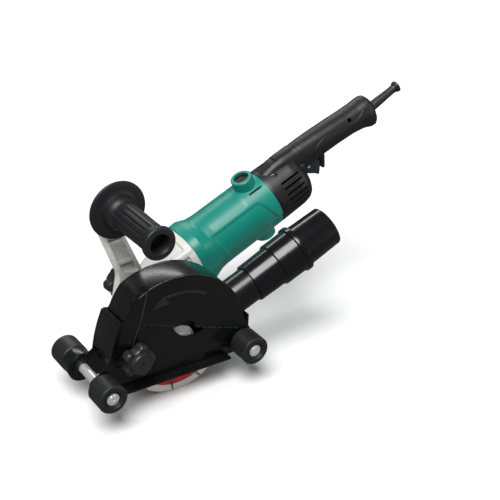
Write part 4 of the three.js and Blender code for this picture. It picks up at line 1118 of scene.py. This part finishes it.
def rear_housing():
    bulge = loft("bulge", BULGE, motor,
                 steps_between(MOTOR_REAR, 262, 20) + steps_between(264, BULGE_REAR, 16), 128)
    grip_stations = steps_between(246, 400, 77) + steps_between(401, GRIP_REAR, 12)
    grip = loft("grip", GRIP, motor, grip_stations, 96)
    fairing = loft("fairing", [(228, 13, 14, 2.6, 25), (246, 15, 17.5, 2.6, 26), (262, 16, 18.5, 2.5, 26),
                               (300, 16, 17.5, 2.4, GRIP_UP + 4)], motor, steps_between(228, 300, 24), 64)
    pad = bevel(block("pad", 252, 280, -6, 6, 30, 45.4, motor), 1.0, 2)
    body = union(bulge, grip, fairing, pad)
    hollow = [
        loft("bulge_space", [(220, 35.5, 35.5, 2, 0), (264, 35, 35, 2, 0), (276, 29, 29, 2, 0)], motor,
             [220, 264, 276], 64),
        loft("grip_space", [(253, 13, 15, 2, GRIP_UP), (406, 15, 14.5, 2, GRIP_UP - 1)], motor, [253, 406],
             48),
        disc("cord_hole", GRIP_REAR - 16, GRIP_REAR + 1, 6, motor @ Matrix.Translation((0, 0, GRIP_UP - 6)),
             32),
        block("trigger_slot", 281, 313.5, -8.5, 8.5, -20, GRIP_UP, motor),
        disc("lock_hole", -40, 0, 4.3, motor @ along((279, 0, 20), (0, 1, 0)), 32),
    ]
    vent = rounded([(238, 30), (268, 30), (268, 45), (238, 45)], 1)
    for i in range(7):
        degrees = 41 - 12.6 * i
        hollow += [prism("vent", vent, -1.35, 1.35, round_motor(place))
                   for place in (degrees, 180 - degrees)]
    for degrees in HOUSING_SCREWS:
        hollow.append(disc("screw_hole", 30, 46, 4.2, housing_screw_place(degrees), 32))
    for degrees in (34, 146):
        grip_hole = skin_point(GRIP, 370, degrees, 2)
        inward = Vector((0, -grip_hole.y, GRIP_UP - grip_hole.z))
        hollow.append(disc("grip_screw_hole", 0, 9, 3, motor @ along(grip_hole, inward), 32))
    grooves = [(302, -11), (305, 4), (310, 14), (319, 26), (329, 32), (345, 27), (363, 16), (379, 16),
               (391, 33), (398, 50),
               (398, 90)]
    seam = [(284, 80), (284.5, 62), (287, 38), (291, 14), (296, -2), (302, -11)]
    lines = []
    for line in (grooves, seam):
        lines.append(cord_of("groove", on_grip(line, 0.1), 0.55, motor, 6))
        lines.append(cord_of("groove", on_grip(mirrored(line), 0.1), 0.55, motor, 6))
    hook = prism("hook", rounded([(313.5, 12), (314, -4), (313, -14), (316.5, -14), (322.5, 3),
                                  (322.5, 12)], 1.5),
                 -7.8, 7.8, motor)
    body = union(cut(body, *hollow, *lines), bevel(hook, 0.8, 2, 50))
    for name, y0, y1 in (("near", -60, -GAP / 2), ("far", GAP / 2, 60)):
        half = body.copy()
        half.data = body.data.copy()
        half.name = f"rear_shell_{name}"
        bpy.context.scene.collection.objects.link(half)
        overlap(half, block("half_space", 200, 440, y0, y1, -80, 80, motor))
        fit(half, "tool", "black_plastic", f"rear_housing_{name}", angle=32)
    bpy.data.objects.remove(body)


def housing_screws():
    for side, degrees in zip(("near", "far"), HOUSING_SCREWS):
        head = [(32.6, 0), (32.6, 3.8), (34.6, 3.9), (35.2, 3.2), (35.2, 1.6), (34.2, 1.4), (34.2, 0)]
        fit(lathe(f"housing_screw_{side}", head, housing_screw_place(degrees), 32), "tool", "black_steel")


def trigger():
    outline = rounded([(283, 11), (284, 1), (287, -4), (299, -12.7), (304.6, -18.8), (308, -12.6),
                       (311, -6),
                       (312.5, 2), (300, 11)], 2, 5)
    body = bevel(prism("trigger_paddle", outline, -7.8, 7.8, motor), 1.3, 3, 50)
    hole = disc("hole", -9, 9, 2.3, motor @ along((294, 0, 3), (0, 1, 0)), 32)
    fit(cut(body, hole), "trigger", "trigger_plastic", "trigger")
    button = disc("lock_cap", -21.5, -11, 4, motor @ along((279, 0, 20), (0, 1, 0)), 48, 0.7)
    fit(button, "lock_button", "trigger_plastic", "lock_button")


def cord_guard():
    """A tapered sleeve with a bell end, tilted a little up from the grip."""
    place = motor @ Matrix.Translation((GRIP_REAR + GAP, 0,
                                        GRIP_UP - 6)) @ Matrix.Rotation(math.radians(-3), 4, "Y")
    length = 52.0
    profile = [(-12, 3.2), (-12, 5), (0, 5), (0.4, 6.8), (5, 6.7)]
    profile += [(x, 6.6 - 1.1 * ease((x - 5) / 38)) for x in range(8, 44, 3)]
    profile += [(45, 5.7), (47, 6.5), (48.4, 7.6), (50, 8), (length - 0.5, 7.9), (length, 7.3),
                (length, 3.2)]
    fit(lathe("cord_sleeve", profile, place, 64), "tool", "black_plastic", "cord_guard")


rear_housing()
housing_screws()
trigger()
cord_guard()


# ---- Stage, light and camera ----
def floor():
    size, level = 6.0, cad_box[0].z - 0.0005
    bm = bmesh.new()
    bm.faces.new([bm.verts.new((x * size, y * size, level)) for x,
                  y in ((-1, -1), (1, -1), (1, 1), (-1, 1))])
    mesh = bpy.data.meshes.new("floor")
    bm.to_mesh(mesh)
    bm.free()
    ground = bpy.data.objects.new("floor", mesh)
    bpy.context.scene.collection.objects.link(ground)
    ground.data.materials.append(surface("pale floor", (0.86, 0.86, 0.86), 0.8, 0, 0.01, 0.05))
    ground.visible_glossy = False


def light(name, at, target, size, power):
    data = bpy.data.lights.new(name, "AREA")
    data.shape = "RECTANGLE"
    data.size, data.size_y = size
    data.energy = power
    lamp = bpy.data.objects.new(name, data)
    lamp.location = at
    lamp.rotation_euler = (Vector(target) - Vector(at)).to_track_quat("-Z", "Y").to_euler()
    bpy.context.scene.collection.objects.link(lamp)


CAMERA_AT = (-0.5768, -0.9456, 0.7204)
CAMERA_RIGHT = (0.8261, -0.5622, 0.0383)
CAMERA_FORWARD = (0.5109, 0.7186, -0.4718)
CAMERA_LENS = 79.75

floor()
sun = bpy.data.lights.new("sun", "SUN")
sun.energy = 3.9
sun.angle = math.radians(38)
sun_lamp = bpy.data.objects.new("sun", sun)
sun_lamp.rotation_euler = Vector((-0.55, -0.5, 1.25)).to_track_quat("Z", "Y").to_euler()
bpy.context.scene.collection.objects.link(sun_lamp)
light("side", (1.2, -1.0, 0.55), (0.12, 0.05, 0.05), (0.12, 1.1), 3.5)
light("back", (0.5, 1.4, 1.1), (0.1, 0.05, 0.05), (1.2, 0.25), 6)
world = bpy.data.worlds.new("studio")
world.use_nodes = True
world.node_tree.nodes["Background"].inputs["Color"].default_value = (1, 1, 1, 1)
world.node_tree.nodes["Background"].inputs["Strength"].default_value = 0.12
bpy.context.scene.world = world
bpy.context.scene.view_settings.view_transform = "Standard"

right = Vector(CAMERA_RIGHT).normalized()
forward = Vector(CAMERA_FORWARD).normalized()
up = right.cross(forward)
camera_data = bpy.data.cameras.new("camera")
camera_data.lens = CAMERA_LENS
camera_data.sensor_width = 36
camera_data.clip_start = 0.01
camera = bpy.data.objects.new("camera", camera_data)
camera.matrix_world = Matrix.Translation(CAMERA_AT) @ Matrix((right, up, -forward)).transposed().to_4x4()
bpy.context.scene.collection.objects.link(camera)
bpy.context.scene.camera = camera
